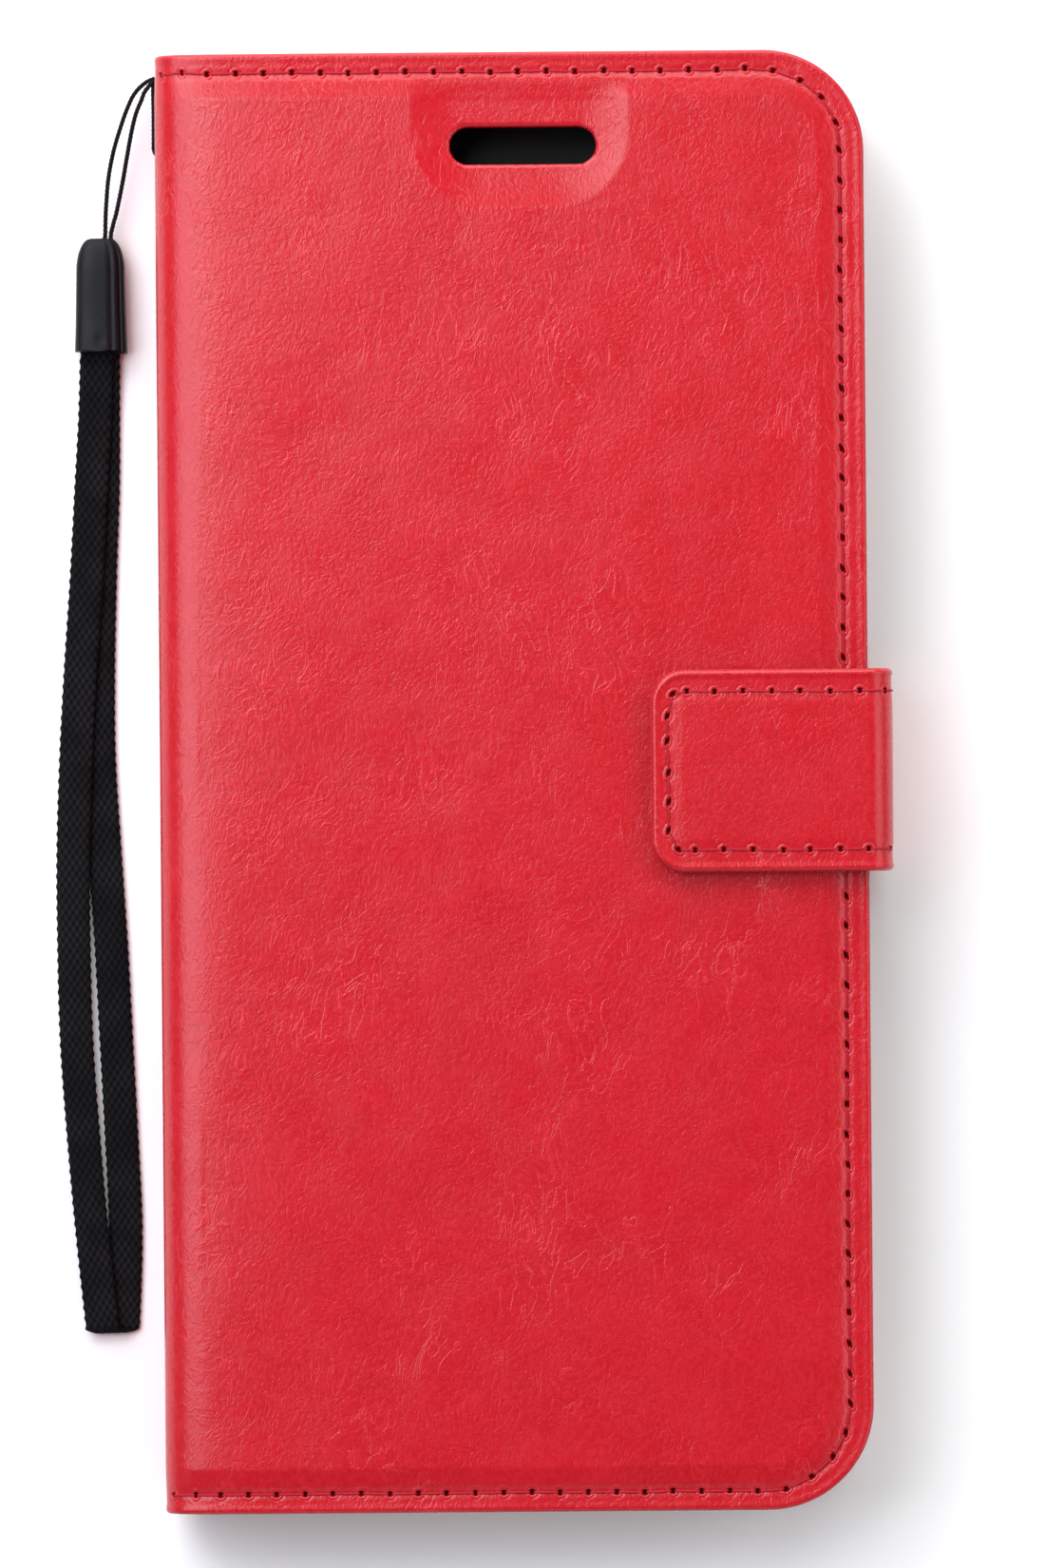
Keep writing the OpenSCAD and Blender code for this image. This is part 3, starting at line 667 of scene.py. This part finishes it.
def holes_dent(x, y, holes):
    """Depth of the pits under the needle holes, which reach a little past them."""
    dent = np.zeros_like(x)
    for sx, sy, angle, half_l, half_w in holes:
        near = (np.abs(x - sx) < 1.6) & (np.abs(y - sy) < 1.6)
        if not near.any():
            continue
        c, s = math.cos(angle), math.sin(angle)
        u = ((x[near] - sx) * c + (y[near] - sy) * s) / (half_l + 0.12)
        v = (-(x[near] - sx) * s + (y[near] - sy) * c) / (half_w + 0.12)
        dent[near] += 0.5 * np.exp(-np.hypot(u, v) ** 2.6)
    return dent


def needle_holes(points, seed):
    """Stitch places with each hole's tilt and half sizes: rounder along X, longer and leaning along Y."""
    rng = np.random.default_rng(seed)
    out = []
    for x, y, angle in points:
        upright = abs(math.sin(angle))
        lean = 0.22 * upright + rng.normal(0, 0.10)
        half_l = 0.33 + 0.24 * upright + rng.normal(0, 0.02)
        half_w = 0.31 - 0.09 * upright + rng.normal(0, 0.015)
        out.append((x + rng.normal(0, 0.05), y + rng.normal(0, 0.05), angle + lean, half_l, half_w))
    return out


# The ear slot, with full round ends, and the camera window: centre, half size and corner radius
SLOT = (np.array([0.2, 71.9]), np.array([8.3, 2.15]), 2.15)
CAMERA = (np.array([22.0, 56.0]), np.array([7.5, 16.5]), 5.0)
# The two holes punched through the spine for the cord, as y and z
PUNCH = [(80.2, 4.6), (71.8, 4.6)]


def snap_to(point, opening):
    """The nearest place on an opening's outline."""
    centre, half, r = opening
    core = np.clip(point, centre - half + r, centre + half - r)
    away = point - core
    return core + away / max(np.hypot(*away), 1e-9) * r


def cut_hole(verts, faces, sdf, opening):
    """Removes the faces inside an outline and brings the rim onto the opening. Returns the faces and rim."""
    keep = [f for f in faces if min(sdf[list(f)]) > 0]
    count = Counter((min(a, b), max(a, b)) for f in keep for a, b in zip(f, f[1:] + f[:1]))
    # The hole's edges have one face left, and lie near the outline
    rim = [e for e, c in count.items() if c == 1 and sdf[e[0]] < 1.5 and sdf[e[1]] < 1.5]
    link = {}
    for a, b in rim:
        link.setdefault(a, []).append(b)
        link.setdefault(b, []).append(a)
    order, previous = [rim[0][0]], None
    while True:
        step = [v for v in link[order[-1]] if v != previous]
        if not step or step[0] == order[0]:
            break
        previous = order[-1]
        order.append(step[0])
    for i in order:
        verts[i, :2] = snap_to(verts[i, :2], opening)
    return keep, order


def skirt(verts, faces, loop, out, down, profile, closed=False, flip=False):
    """Adds a wall from an edge loop. profile lists each ring's inset against out, and its drop along down."""
    base = len(verts)
    n = len(loop)
    verts = np.vstack([verts] + [verts[loop] - out * inset + down * drop for inset, drop in profile])
    previous = list(loop)
    for k in range(len(profile)):
        current = [base + k * n + i for i in range(n)]
        for i in range(n if closed else n - 1):
            j = (i + 1) % n
            quad = (previous[i], previous[j], current[j], current[i])
            faces.append(quad[::-1] if flip else quad)
        previous = current
    return verts, faces


def finish_sheet(name, front, inner, verts, faces, plan, normals, outline, hem):
    """Turns in a sheet's three free sides, turns the back's over, and makes the piece."""
    loop = free_edge(*plan[0].shape)
    ox, oy = outward(plan[0].ravel()[loop], plan[1].ravel()[loop], outline)
    out = np.stack([ox, oy, np.zeros_like(ox)], axis=1)
    verts, faces = skirt(verts, faces, loop, out, -normals[loop], hem, flip=inner)
    if not front:
        verts[:, 2] = TOP_Z - verts[:, 2]
        faces = [f[::-1] for f in faces]
    obj = new_object(name, verts, faces, LINING if inner else LEATHER)
    return obj


def roll_off(past):
    """How far the leather has rolled off the padded panel, past the start of the flat or short of it."""
    t = np.clip(past / ROLL_ONSET + 1, 0, 1)
    before = smooth(0, 1, t) + ROLL_ONSET / ROLL_LENGTH * t * t * (1 - t)
    return ROLL_OFF * np.where(past > 0, np.exp(-np.maximum(past, 0) / ROLL_LENGTH), before)


def cover_relief(d, x, y, front, s):
    """Height of the outer leather above the padded panel's plane.

    d is the distance in from the edge, and s the distance along the section, from the middle of the spine."""
    # The padded panel rises from the margin as a straight, flat slope with a soft shoulder
    rise = np.clip((d - 2.5) / 2.5, 0, 1)
    rise = rise + 0.10 * (smooth(0, 0.3, rise) - smooth(0.7, 1.0, rise)) * (1 - rise)
    # and the step fades out down the spine's wall, which stays straight to its ends
    level = 0.15 + 0.85 * smooth(S_FLAT - FOLD_R * math.pi / 2, S_FLAT, s)
    h = -MARGIN_DROP * (1 - rise) * level - rounding(d, 0.38)
    # The leather rolls off the padded panel towards the spine more slowly than a true arc
    h -= roll_off(s - S_FLAT)
    # A bead and a groove beside the edge, and the groove that the stitches pull in
    h += 0.04 * bell(d, 0.50, 0.30)
    h -= 0.03 * bell(d, 1.25, 0.30)
    h -= 0.11 * level * bell(seam_distance(x, y), 0, 0.42)
    if front:
        # The leather is pressed down in a dish round the ear slot, open towards the seam
        dish = round_box(x, y, (-0.1, 79.0), (12.2, 14.0), 8.5)
        sunk = np.clip(-dish / 5.2, 0, 1)
        h -= 0.52 * (1 - (1 - sunk) ** 1.8) * smooth(2.6, 5.6, d)
    h -= 0.22 * (1 - smooth(0.0, 0.3, round_box(x, y, *(SLOT if front else CAMERA))))
    return h


FRONT_HOLES = needle_holes(seam_points(), 3)
BACK_HOLES = needle_holes(seam_points(), 4)


def on_cover(front):
    """Maps a place on the rolled-out cover, and a height above its leather, to a point."""
    def place(u, v, h):
        s = S_FLAT + u - FOLD_X
        x, z, nx, nz = section(s)
        rise = cover_relief(edge_distance(x, v, OUTLINE), x, v, front, s) + h
        z = z + nz * rise
        return np.stack([x + nx * rise, v, z if front else TOP_Z - z], axis=-1)
    return place


def make_cover_sheet(name, front):
    """The outer leather of one cover, with its half of the spine, in one piece."""
    fine, coarse = (0.25, 0.27) if front else (0.36, 0.42)
    s = np.concatenate([np.linspace(0, S_FLAT, 42)[:-1],
                        graded(S_FLAT, S_FLAT + EDGE_X - FOLD_X, fine, coarse, 0)])
    S, Y = np.meshgrid(s, graded(-HALF_H, HALF_H, fine, coarse), indexing="ij")
    x, z, nx, nz = section(S)
    flat = S > S_FLAT
    rx, ry = round_corners(x, Y, OUTLINE)
    x, y = np.where(flat, rx, x), np.where(flat, ry, Y)
    d = edge_distance(x, y, OUTLINE)
    h = cover_relief(d, x, y, front, S)
    rolled_x = np.where(flat, x, FOLD_X + S - S_FLAT)
    h = h - holes_dent(rolled_x, y, FRONT_HOLES if front else BACK_HOLES)
    # Soft waviness of hand-laid leather, which on the back only goes inward, because the case lies on it
    wave = 0.035 * (np.sin(x * 0.21 + 1.3 * np.sin(y * 0.07)) * np.sin(y * 0.11 + 0.6) - (0 if front else 1))
    h = h + wave * smooth(4, 9, d) * flat
    if not front:
        for py, pz in PUNCH:
            r = np.hypot(y - py, (TOP_Z - z) - pz)
            h = h - 0.75 * (1 - smooth(0.35, 0.85, r)) * (S < S_FLAT - 2) + 0.06 * bell(r, 1.1, 0.3)
    verts = np.stack([x + nx * h, y, z + nz * h], axis=-1).reshape(-1, 3)
    normals = np.stack([nx, np.zeros_like(nx), nz], axis=-1).reshape(-1, 3)
    opening = SLOT if front else CAMERA
    sdf = np.where(flat, round_box(x, y, *opening), 9).ravel()
    faces, rim = cut_hole(verts, grid_faces(*S.shape, flip=True), sdf, opening)
    # The hole's wall: leather turned in over the board
    around = verts[rim][:, :2] - opening[0]
    area = np.sum(around[:, 0] * np.roll(around[:, 1], -1) - np.roll(around[:, 0], -1) * around[:, 1])
    if area < 0:
        rim = rim[::-1]
    verts, faces = skirt(verts, faces, rim, np.zeros(3), np.array([0, 0, -1.0]),
                         [(0, 0.25), (0, 0.8), (0, 1.4), (0, COVER_T - 0.45)], closed=True)
    hem = [(0, 0.3), (0.02, 0.62), (0.14, 0.84), (0.42, 0.94), (1.9, 0.94)]
    return finish_sheet(name, front, False, verts, faces, (x, y), normals, OUTLINE, hem)


def crease_blend(obj):
    """Bakes a sheet's transform into its mesh; nothing is bent here."""
    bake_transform(obj)


front_leather = make_cover_sheet("front_leather", True)
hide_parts("front_outer_skin")
back_leather = make_cover_sheet("back_leather", False)
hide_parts("back_outer_skin", "spine_outer_skin")


# ---- stitching

RING = 14
# The thread starts at this share of a hole's half length, and its middle stands this high
THREAD_START = 0.62
THREAD_RISE = 0.05
# Rings round a hole, from the flat leather inward: how far each lies outside the hole's outline, or the share
# of the outline that it has, and its height
LIP = [(0.48, 1, -0.035), (0.34, 1, 0.008), (0.22, 1, 0.045), (0.11, 1, 0.035), (0.03, 1, -0.06),
       (0.0, 1, -0.13)]
PIT = [(0.015, 1, -0.09), (0.0, 0.9, -0.22), (0.0, 0.6, -0.36), (0.0, 0.2, -0.42)]


def hole_patch(place, hole, flip):
    """The pinched leather round a needle hole, and the hole itself."""
    u, v, angle, half_l, half_w = hole
    c, s = math.cos(angle), math.sin(angle)
    a = np.linspace(0, 2 * math.pi, RING, endpoint=False)

    def rings(profile):
        out = []
        for grow, share, height in profile:
            du, dv = (half_l * share + grow) * np.cos(a), (half_w * share + grow) * np.sin(a)
            out.append(place(u + du * c - dv * s, v + du * s + dv * c, np.full(RING, height)))
        return np.vstack(out)

    lip_faces = grid_faces(len(LIP), RING, wrap=True, flip=not flip)
    pit_faces = grid_faces(len(PIT), RING, wrap=True, flip=not flip)
    last = tuple((len(PIT) - 1) * RING + k for k in range(RING))
    pit_faces.append(last[::-1] if flip else last)
    return (rings(LIP), lip_faces), (rings(PIT), pit_faces)


def stitch_row(name, holes, place, leather, flip=False, thread_r=0.15):
    """The thread between needle holes, the pinched leather round them and the holes, painted dark as shade."""
    lips, pits = zip(*(hole_patch(place, hole, flip) for hole in holes))
    threads = []
    for (u0, v0, _, half0, _), (u1, v1, _, half1, _) in zip(holes, holes[1:]):
        gap = math.hypot(u1 - u0, v1 - v0)
        t = np.linspace(THREAD_START * half0 / gap, 1 - THREAD_START * half1 / gap, 11)
        arch = np.sin(math.pi * t) ** 0.35
        line = place(u0 + (u1 - u0) * t, v0 + (v1 - v0) * t, THREAD_RISE - 0.24 * (1 - arch))
        threads.append(tube_mesh(line, thread_r * (0.85 + 0.15 * arch), 8))
    thread = new_object(name + "_thread", *join_meshes(threads), THREAD)
    lip = new_object(name + "_puckers", *join_meshes(lips), leather)
    # The pits carry the holes' painted shade
    pit = new_object(name + "_holes", *join_meshes(pits), HOLE_SHADE)
    return thread, lip, pit


front_seam = stitch_row("front_seam", FRONT_HOLES, on_cover(True), LEATHER)
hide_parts("front_stitching")
back_seam = stitch_row("back_seam", BACK_HOLES, on_cover(False), LEATHER, flip=True)
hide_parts("back_stitching")


# ---- lining

def make_lining(name, front):
    """The inner leather of one cover and half the spine, pressed to the skin along the crease."""
    outline = (EDGE_X - 0.5, HALF_H - 0.5, CORNER_TOP - 0.5, CORNER_BOTTOM - 0.5)
    # Section from the middle of the spine: wall, into the crease, over to the cover
    inner_x, inner_z = SPINE_X + COVER_T, TOP_Z - COVER_T
    crease_x, crease_z = SPINE_X + 1.9, TOP_Z - 1.9
    knots = [(inner_x, MID_Z), (inner_x, TOP_Z - 6.4), (inner_x - 0.25, TOP_Z - 5.3),
             (crease_x + 0.05, crease_z - 0.9), (crease_x + 0.25, crease_z - 0.25),
             (crease_x + 0.9, crease_z - 0.05), (SPINE_X + 5.3, inner_z + 0.25), (SPINE_X + 6.4, inner_z),
             (SPINE_X + 9, inner_z)]
    path = smooth_path([(a, 0, b) for a, b in knots], 8)[:, [0, 2]]
    xs = np.concatenate([path[:, 0], graded(path[-1, 0], outline[0], 0.4, 0.55, 0)[1:]])
    zs = np.concatenate([path[:, 1], np.full(len(xs) - len(path), inner_z)])
    tangent = unit(np.gradient(np.stack([xs, zs], axis=1), axis=0))
    nx, nz = tangent[:, 1][:, None], -tangent[:, 0][:, None]
    X, Y = np.meshgrid(xs, graded(-outline[1], outline[1], 0.4, 0.55), indexing="ij")
    x, y = round_corners(X, Y, outline)
    d = edge_distance(x, y, outline)
    h = -rounding(d, 0.35) - 0.08 * bell(d, 1.9, 0.35)
    verts = np.stack([x + nx * h, y, zs[:, None] + nz * h], axis=-1).reshape(-1, 3)
    normals = np.stack(np.broadcast_arrays(nx, 0 * x, nz), axis=-1).reshape(-1, 3)
    # The lining's hole is a little wider than the leather's before its rim is brought in
    grown = (SLOT[0], SLOT[1] + 0.15, SLOT[2] + 0.15) if front else (CAMERA[0], CAMERA[1] + 0.1, CAMERA[2])
    faces, _ = cut_hole(verts, grid_faces(*X.shape), round_box(x, y, *grown).ravel(), SLOT if front else CAMERA)
    return finish_sheet(name, front, True, verts, faces, (x, y), normals, outline, [(0, 0.18), (0.6, 0.22)])


front_lining = make_lining("front_inside", True)
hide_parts("front_lining")
back_lining = make_lining("back_inside", False)
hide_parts("back_lining", "spine_lining")
for piece in (front_leather, *front_seam, front_lining):
    crease_blend(piece)
for piece in (back_leather, *back_seam, back_lining):
    crease_blend(piece)


# ---- clasp

def clasp_section(s):
    """Point and outward normal along the clasp's outer face, from under the back's margin to the tab's end."""
    first = np.clip((s - CLASP_RUN_IN) / CLASP_R, 0, math.pi / 2)
    second = np.clip((s - CLASP_BEND) / CLASP_R, 0, math.pi / 2)
    x = (CLASP_START_X + np.minimum(s, CLASP_RUN_IN) + CLASP_R * np.sin(first)
         - CLASP_R * (1 - np.cos(second)) - np.maximum(s - CLASP_FLAT, 0))
    z = (CLASP_Z0 + CLASP_R * (1 - np.cos(first)) + np.clip(s - CLASP_RUN_IN - CLASP_ARC, 0, CLASP_SIDE)
         + CLASP_R * np.sin(second))
    return x, z, np.sin(first + second), -np.cos(first + second)


TAB_IN_SIDE = 2.5
TAB_IN_END = 1.9
# Needle holes: the upper row from the bend, the end's column from the upper side, the lower row from the end
TAB_TOP_ROW = [-1.0, 2.2, 5.4, 8.8, 12.1, 15.3, 18.6, 21.8]
TAB_END_COLUMN = [5.2, 8.0, 11.6, 14.9, 18.2]
TAB_BOTTOM_ROW = [4.9, 8.2, 11.5, 14.8, 18.0, 21.3, 24.5, 27.7]


# Distance along the clasp, distance across it, and the seam's direction
TAB_SEAM_Y = CLASP_W / 2 - TAB_IN_SIDE
TAB_HOLES = needle_holes(
    [(CLASP_BEND + s, TAB_SEAM_Y, 0.0) for s in TAB_TOP_ROW]
    + [(CLASP_END - 4.1, TAB_SEAM_Y, 0.0), (CLASP_END - 2.5, TAB_SEAM_Y - 0.35, -0.6)]
    + [(CLASP_END - TAB_IN_END, CLASP_W / 2 - v, -math.pi / 2) for v in TAB_END_COLUMN]
    + [(CLASP_END - 3.0, -TAB_SEAM_Y, -2.6)]
    + [(CLASP_END - s, -TAB_SEAM_Y, math.pi) for s in TAB_BOTTOM_ROW], 7)


def clasp_relief(d, outer=True):
    """Height of the clasp's face, from the distance in from its edge."""
    if not outer:
        return -rounding(d, 0.25)
    return -rounding(d, 0.42) - 0.13 + 0.13 * bell(d, 0.55, 0.28) + 0.10 * smooth(2.2, 3.8, d)


def on_clasp(u, v, h):
    """Maps a place along and across the clasp, and a height above its leather, to a point."""
    rise = clasp_relief(edge_distance(u, v, (CLASP_END, CLASP_W / 2, TAB_R, TAB_R))) + h
    x, z, nx, nz = clasp_section(u)
    return np.stack([x + nx * rise, CLASP_Y + v, z + nz * rise], axis=-1)


def make_clasp_piece(name, s_from, s_to, outer, free_end):
    """One layer of the clasp between two distances along it."""
    inset = 0.0 if outer else 0.22
    depth = 0.0 if outer else CLASP_SKIN
    thick = CLASP_SKIN - 0.02 if outer else CLASP_T - CLASP_SKIN
    half = CLASP_W / 2 - inset
    s_stop = s_to - (inset if free_end else 0)
    fine = 0.24 if outer else 0.6
    s = np.linspace(s_from, s_stop, max(8, int(round((s_stop - s_from) / fine))) + 1)
    if free_end:
        near_end = [1.2, 0.95, 0.7, 0.46, 0.3, 0.16, 0.06, 0.0]
        s = np.concatenate([s[s < s_stop - 1.3], s_stop - np.array(near_end)])
    S, V = np.meshgrid(s, graded(-half, half, fine, 0.26 if outer else 0.9, 3.0, 3.0), indexing="ij")
    d = half - np.abs(V)
    if free_end:
        outline = (s_stop, half, TAB_R - inset, TAB_R - inset)
        S, V = round_corners(S, V, outline)
        d = edge_distance(S, V, outline)
    x, z, nx, nz = clasp_section(S)

    def layer(h):
        return np.stack([x + nx * h, CLASP_Y + V, z + nz * h], axis=-1)

    high = -depth + clasp_relief(d, outer)
    low = -depth - thick + np.where(d < 0.2, 0.2 - d, 0) * 0.5
    if outer:
        high = high - holes_dent(S, V, TAB_HOLES)
    else:
        # The tab's inside steps down to lie on the cover once it is past the bend
        step = (TAB_TOP - TAB_UNDER - CLASP_T) * smooth(CLASP_FLAT + 0.2, CLASP_FLAT + 2.4, S)
        high, low = high - step, low - step
    obj, _ = plate(name, layer(high), layer(low), LEATHER if outer else LINING)
    return obj


def make_clasp():
    middle = CLASP_RUN_IN + CLASP_ARC + CLASP_SIDE / 2
    for outer, label, low_nodes, high_node in (
            (True, "leather", ("clasp_anchor", "strap_outer_skin"), "tab_outer_skin"),
            (False, "inside", ("strap_lining",), "tab_lining")):
        low = make_clasp_piece("clasp_lower_" + label, 0.0, middle, outer, False)
        high = make_clasp_piece("clasp_upper_" + label, middle, CLASP_END, outer, True)
        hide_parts(*low_nodes)
        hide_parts(high_node)
        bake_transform(low)
        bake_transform(high)
    seam = stitch_row("tab_seam", TAB_HOLES, on_clasp, LEATHER, flip=True, thread_r=0.14)
    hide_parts("tab_stitching")
    for obj in seam:
        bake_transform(obj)


make_clasp()


# ---- pockets inside the front cover

def pocket_panel(node, notch_r):
    """A leather panel with a turned top edge, a soft belly and an optional thumb notch."""
    low, high = box_mm(node)
    X, Y = np.meshgrid(graded(low[0], high[0], 0.4, 0.6, 3, 3), graded(low[1], high[1], 0.3, 0.8, 3, 3),
                       indexing="ij")
    off_centre = X - (low[0] + high[0]) / 2
    notch = np.maximum(np.sqrt(np.clip(notch_r ** 2 - off_centre ** 2, 0, None)) - notch_r / 3, 0)
    y_top = high[1] - notch
    Y = low[1] + (Y - low[1]) / (high[1] - low[1]) * (y_top - low[1])
    d_sewn = np.minimum(np.minimum(X - low[0], high[0] - X), Y - low[1])
    d_top = y_top - Y
    d = np.minimum(d_sewn, d_top)
    h = -rounding(d, 0.3) - 0.07 * bell(d_sewn, 1.5, 0.3) - 0.10 * bell(d_top, 1.6, 0.35)
    h += 0.03 * smooth(2, 9, d)
    obj, rim = plate(node + "_panel", np.stack([X, Y, low[2] - h], axis=-1),
                     np.stack([X, Y, np.full_like(X, high[2] - 0.02)], axis=-1), LINING)
    obj.data.materials.append(EDGE_DYE)
    for polygon in obj.data.polygons[-rim:]:
        polygon.material_index = 1
    stand_for(obj, "front_cover", node)


for pocket in ("cash_pocket", "card_slot_upper", "card_slot_middle"):
    pocket_panel(pocket, 0)
THUMB_R = 9.0
pocket_panel("card_slot_lower", THUMB_R)


def make_pocket_seam():
    low, high = box_mm("card_slot_lower")
    inset = 1.5
    x0, x1, y0 = low[0] + inset, high[0] - inset, low[1] + inset
    down = [(x0, y, -math.pi / 2) for y in np.arange(high[1] - 2.0, y0 + 1.6, -STITCH_PITCH)]
    across = [(x, y0, 0.0) for x in np.arange(x0, x1 - 1.0, STITCH_PITCH)]
    up = [(x1, y, math.pi / 2) for y in np.arange(y0, high[1] - 1.0, STITCH_PITCH)]
    holes = needle_holes(down + across + up, 9)

    def place(u, v, h):
        return np.stack([u, v, low[2] - 0.75 * h + 0.07], axis=-1)

    seam = stitch_row("pocket_seam", holes, place, LINING, flip=True)
    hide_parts("pocket_stitching")
    for obj in seam:
        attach(obj, "front_cover")


make_pocket_seam()


# ---- hitch of cord on the spine

def make_hitch():
    """The turn of cord through both punched holes: along the inside and back along the outside."""
    low, high = box_mm("cord_hitch")
    x_out, x_in = low[0] + CORD_D / 2, high[0] - CORD_D / 2
    z = (low[2] + high[2]) / 2
    y0, y1 = low[1] + CORD_D / 2, high[1] - CORD_D / 2
    corner = 0.55
    line = [(x_out, y0 + corner, z), (x_out + 0.02, (y0 + y1) / 2, z + 0.04), (x_out, y1 - corner, z)]
    line += [(x_out + corner * 0.4, y1 - 0.1, z), (x_out + corner * 1.2, y1, z), (x_in - corner, y1, z)]
    line += [(x_in, y1 - corner, z), (x_in, (y0 + y1) / 2, z), (x_in, y0 + corner, z), (x_in - corner, y0, z)]
    line += [(x_out + corner * 1.2, y0, z), (x_out + corner * 0.4, y0 + 0.1, z), (x_out, y0 + corner, z)]
    path = resample(smooth_path(line, 8), 0.2)
    hitch = laid_cord(path, "cord_hitch_turn")
    stand_for(hitch, "spine", "cord_hitch")


make_hitch()


# ---- CAD nodes that stay

def dress(node, material, bevel=0.0):
    obj = nodes[node]
    obj.data.materials.clear()
    obj.data.materials.append(material)
    if bevel:
        modifier = obj.modifiers.new("soft_edges", "BEVEL")
        modifier.width = bevel * MM
        modifier.segments = 2
        modifier.limit_method = "ANGLE"
        modifier.angle_limit = math.radians(40)


for kept in ("back_board", "spine_board", "front_board", "tab_board"):
    dress(kept, BOARD)
dress("phone_tray", TRAY_WITH_SLOT_SHADE, 0.25)
dress("keeper_plate", STEEL, 0.08)
dress("tab_magnet", NICKEL, 0.08)


# ---- floor and light

def make_floor():
    """A pale floor, 3.2 m across, just under the case."""
    n = Nodes("floor", Specular_IOR_Level=0.1)
    mottle = n.noise(9.0, 3.0)
    n.finish(n.mix(mottle, rgb(0.94, 0.94, 0.94), rgb(0.97, 0.97, 0.97)), n.ramp(mottle, 0.2, 0.8, 0.85, 0.95))
    size = 1.6 / MM
    steps = 9
    ticks = np.linspace(-size, size, steps)
    X, Y = np.meshgrid(ticks, ticks, indexing="ij")
    verts = np.stack([X, Y, np.full_like(X, -0.02)], axis=-1).reshape(-1, 3)
    floor = new_object("floor", verts, grid_faces(steps, steps, flip=True), n.material, shade=False)


def area_light(name, location, size, power, target=(0, 0, 0.01), tint=(1.0, 1.0, 1.0)):
    data = bpy.data.lights.new(name, "AREA")
    data.shape = "RECTANGLE"
    data.size, data.size_y = size
    data.energy = power
    data.color = tint
    obj = bpy.data.objects.new(name, data)
    bpy.context.scene.collection.objects.link(obj)
    obj.location = location
    aim = Vector(target) - Vector(location)
    obj.rotation_euler = aim.to_track_quat("-Z", "Y").to_euler()


def make_light():
    """A bright, even studio: soft boxes on the left and beyond the top, weak ones right and below.

    The haze box is small and high, for the faint gloss on the cover's left half."""
    world = bpy.data.worlds.new("studio")
    world.use_nodes = True
    tree = world.node_tree
    background = tree.nodes["Background"]
    background.inputs["Color"].default_value = rgb(0.96, 0.98, 1.0)
    # The sky dims from the side towards the top
    direction = add_node(tree, "ShaderNodeTexCoord", {}).outputs["Generated"]
    height = add_node(tree, "ShaderNodeSeparateXYZ", {0: direction}).outputs["Z"]
    dome = add_node(tree, "ShaderNodeMapRange", {
        "Value": height, "From Min": 0.35, "From Max": 0.85, "To Min": 0.32, "To Max": 0.14},
        interpolation_type="SMOOTHSTEP").outputs[0]
    tree.links.new(dome, background.inputs["Strength"])
    bpy.context.scene.world = world
    area_light("left_box", (-0.305, 0.20, 0.44), (0.62, 0.36), 2.4, (-0.04, 0.20, 0.018), (0.93, 0.96, 1.08))
    area_light("haze_box", (-0.16, 0.20, 0.75), (0.2, 0.2), 0.8, (-0.04, 0.06, 0.018))
    area_light("top_box", (-0.10, 0.85, 0.50), (1.4, 0.9), 13.6)
    area_light("right_box", (0.44, 0.0, 0.38), (0.7, 0.32), 1.3)
    area_light("low_box", (0.0, -0.52, 0.30), (0.6, 0.3), 0.4)


make_floor()
make_light()
bpy.context.scene.view_settings.view_transform = "Standard"
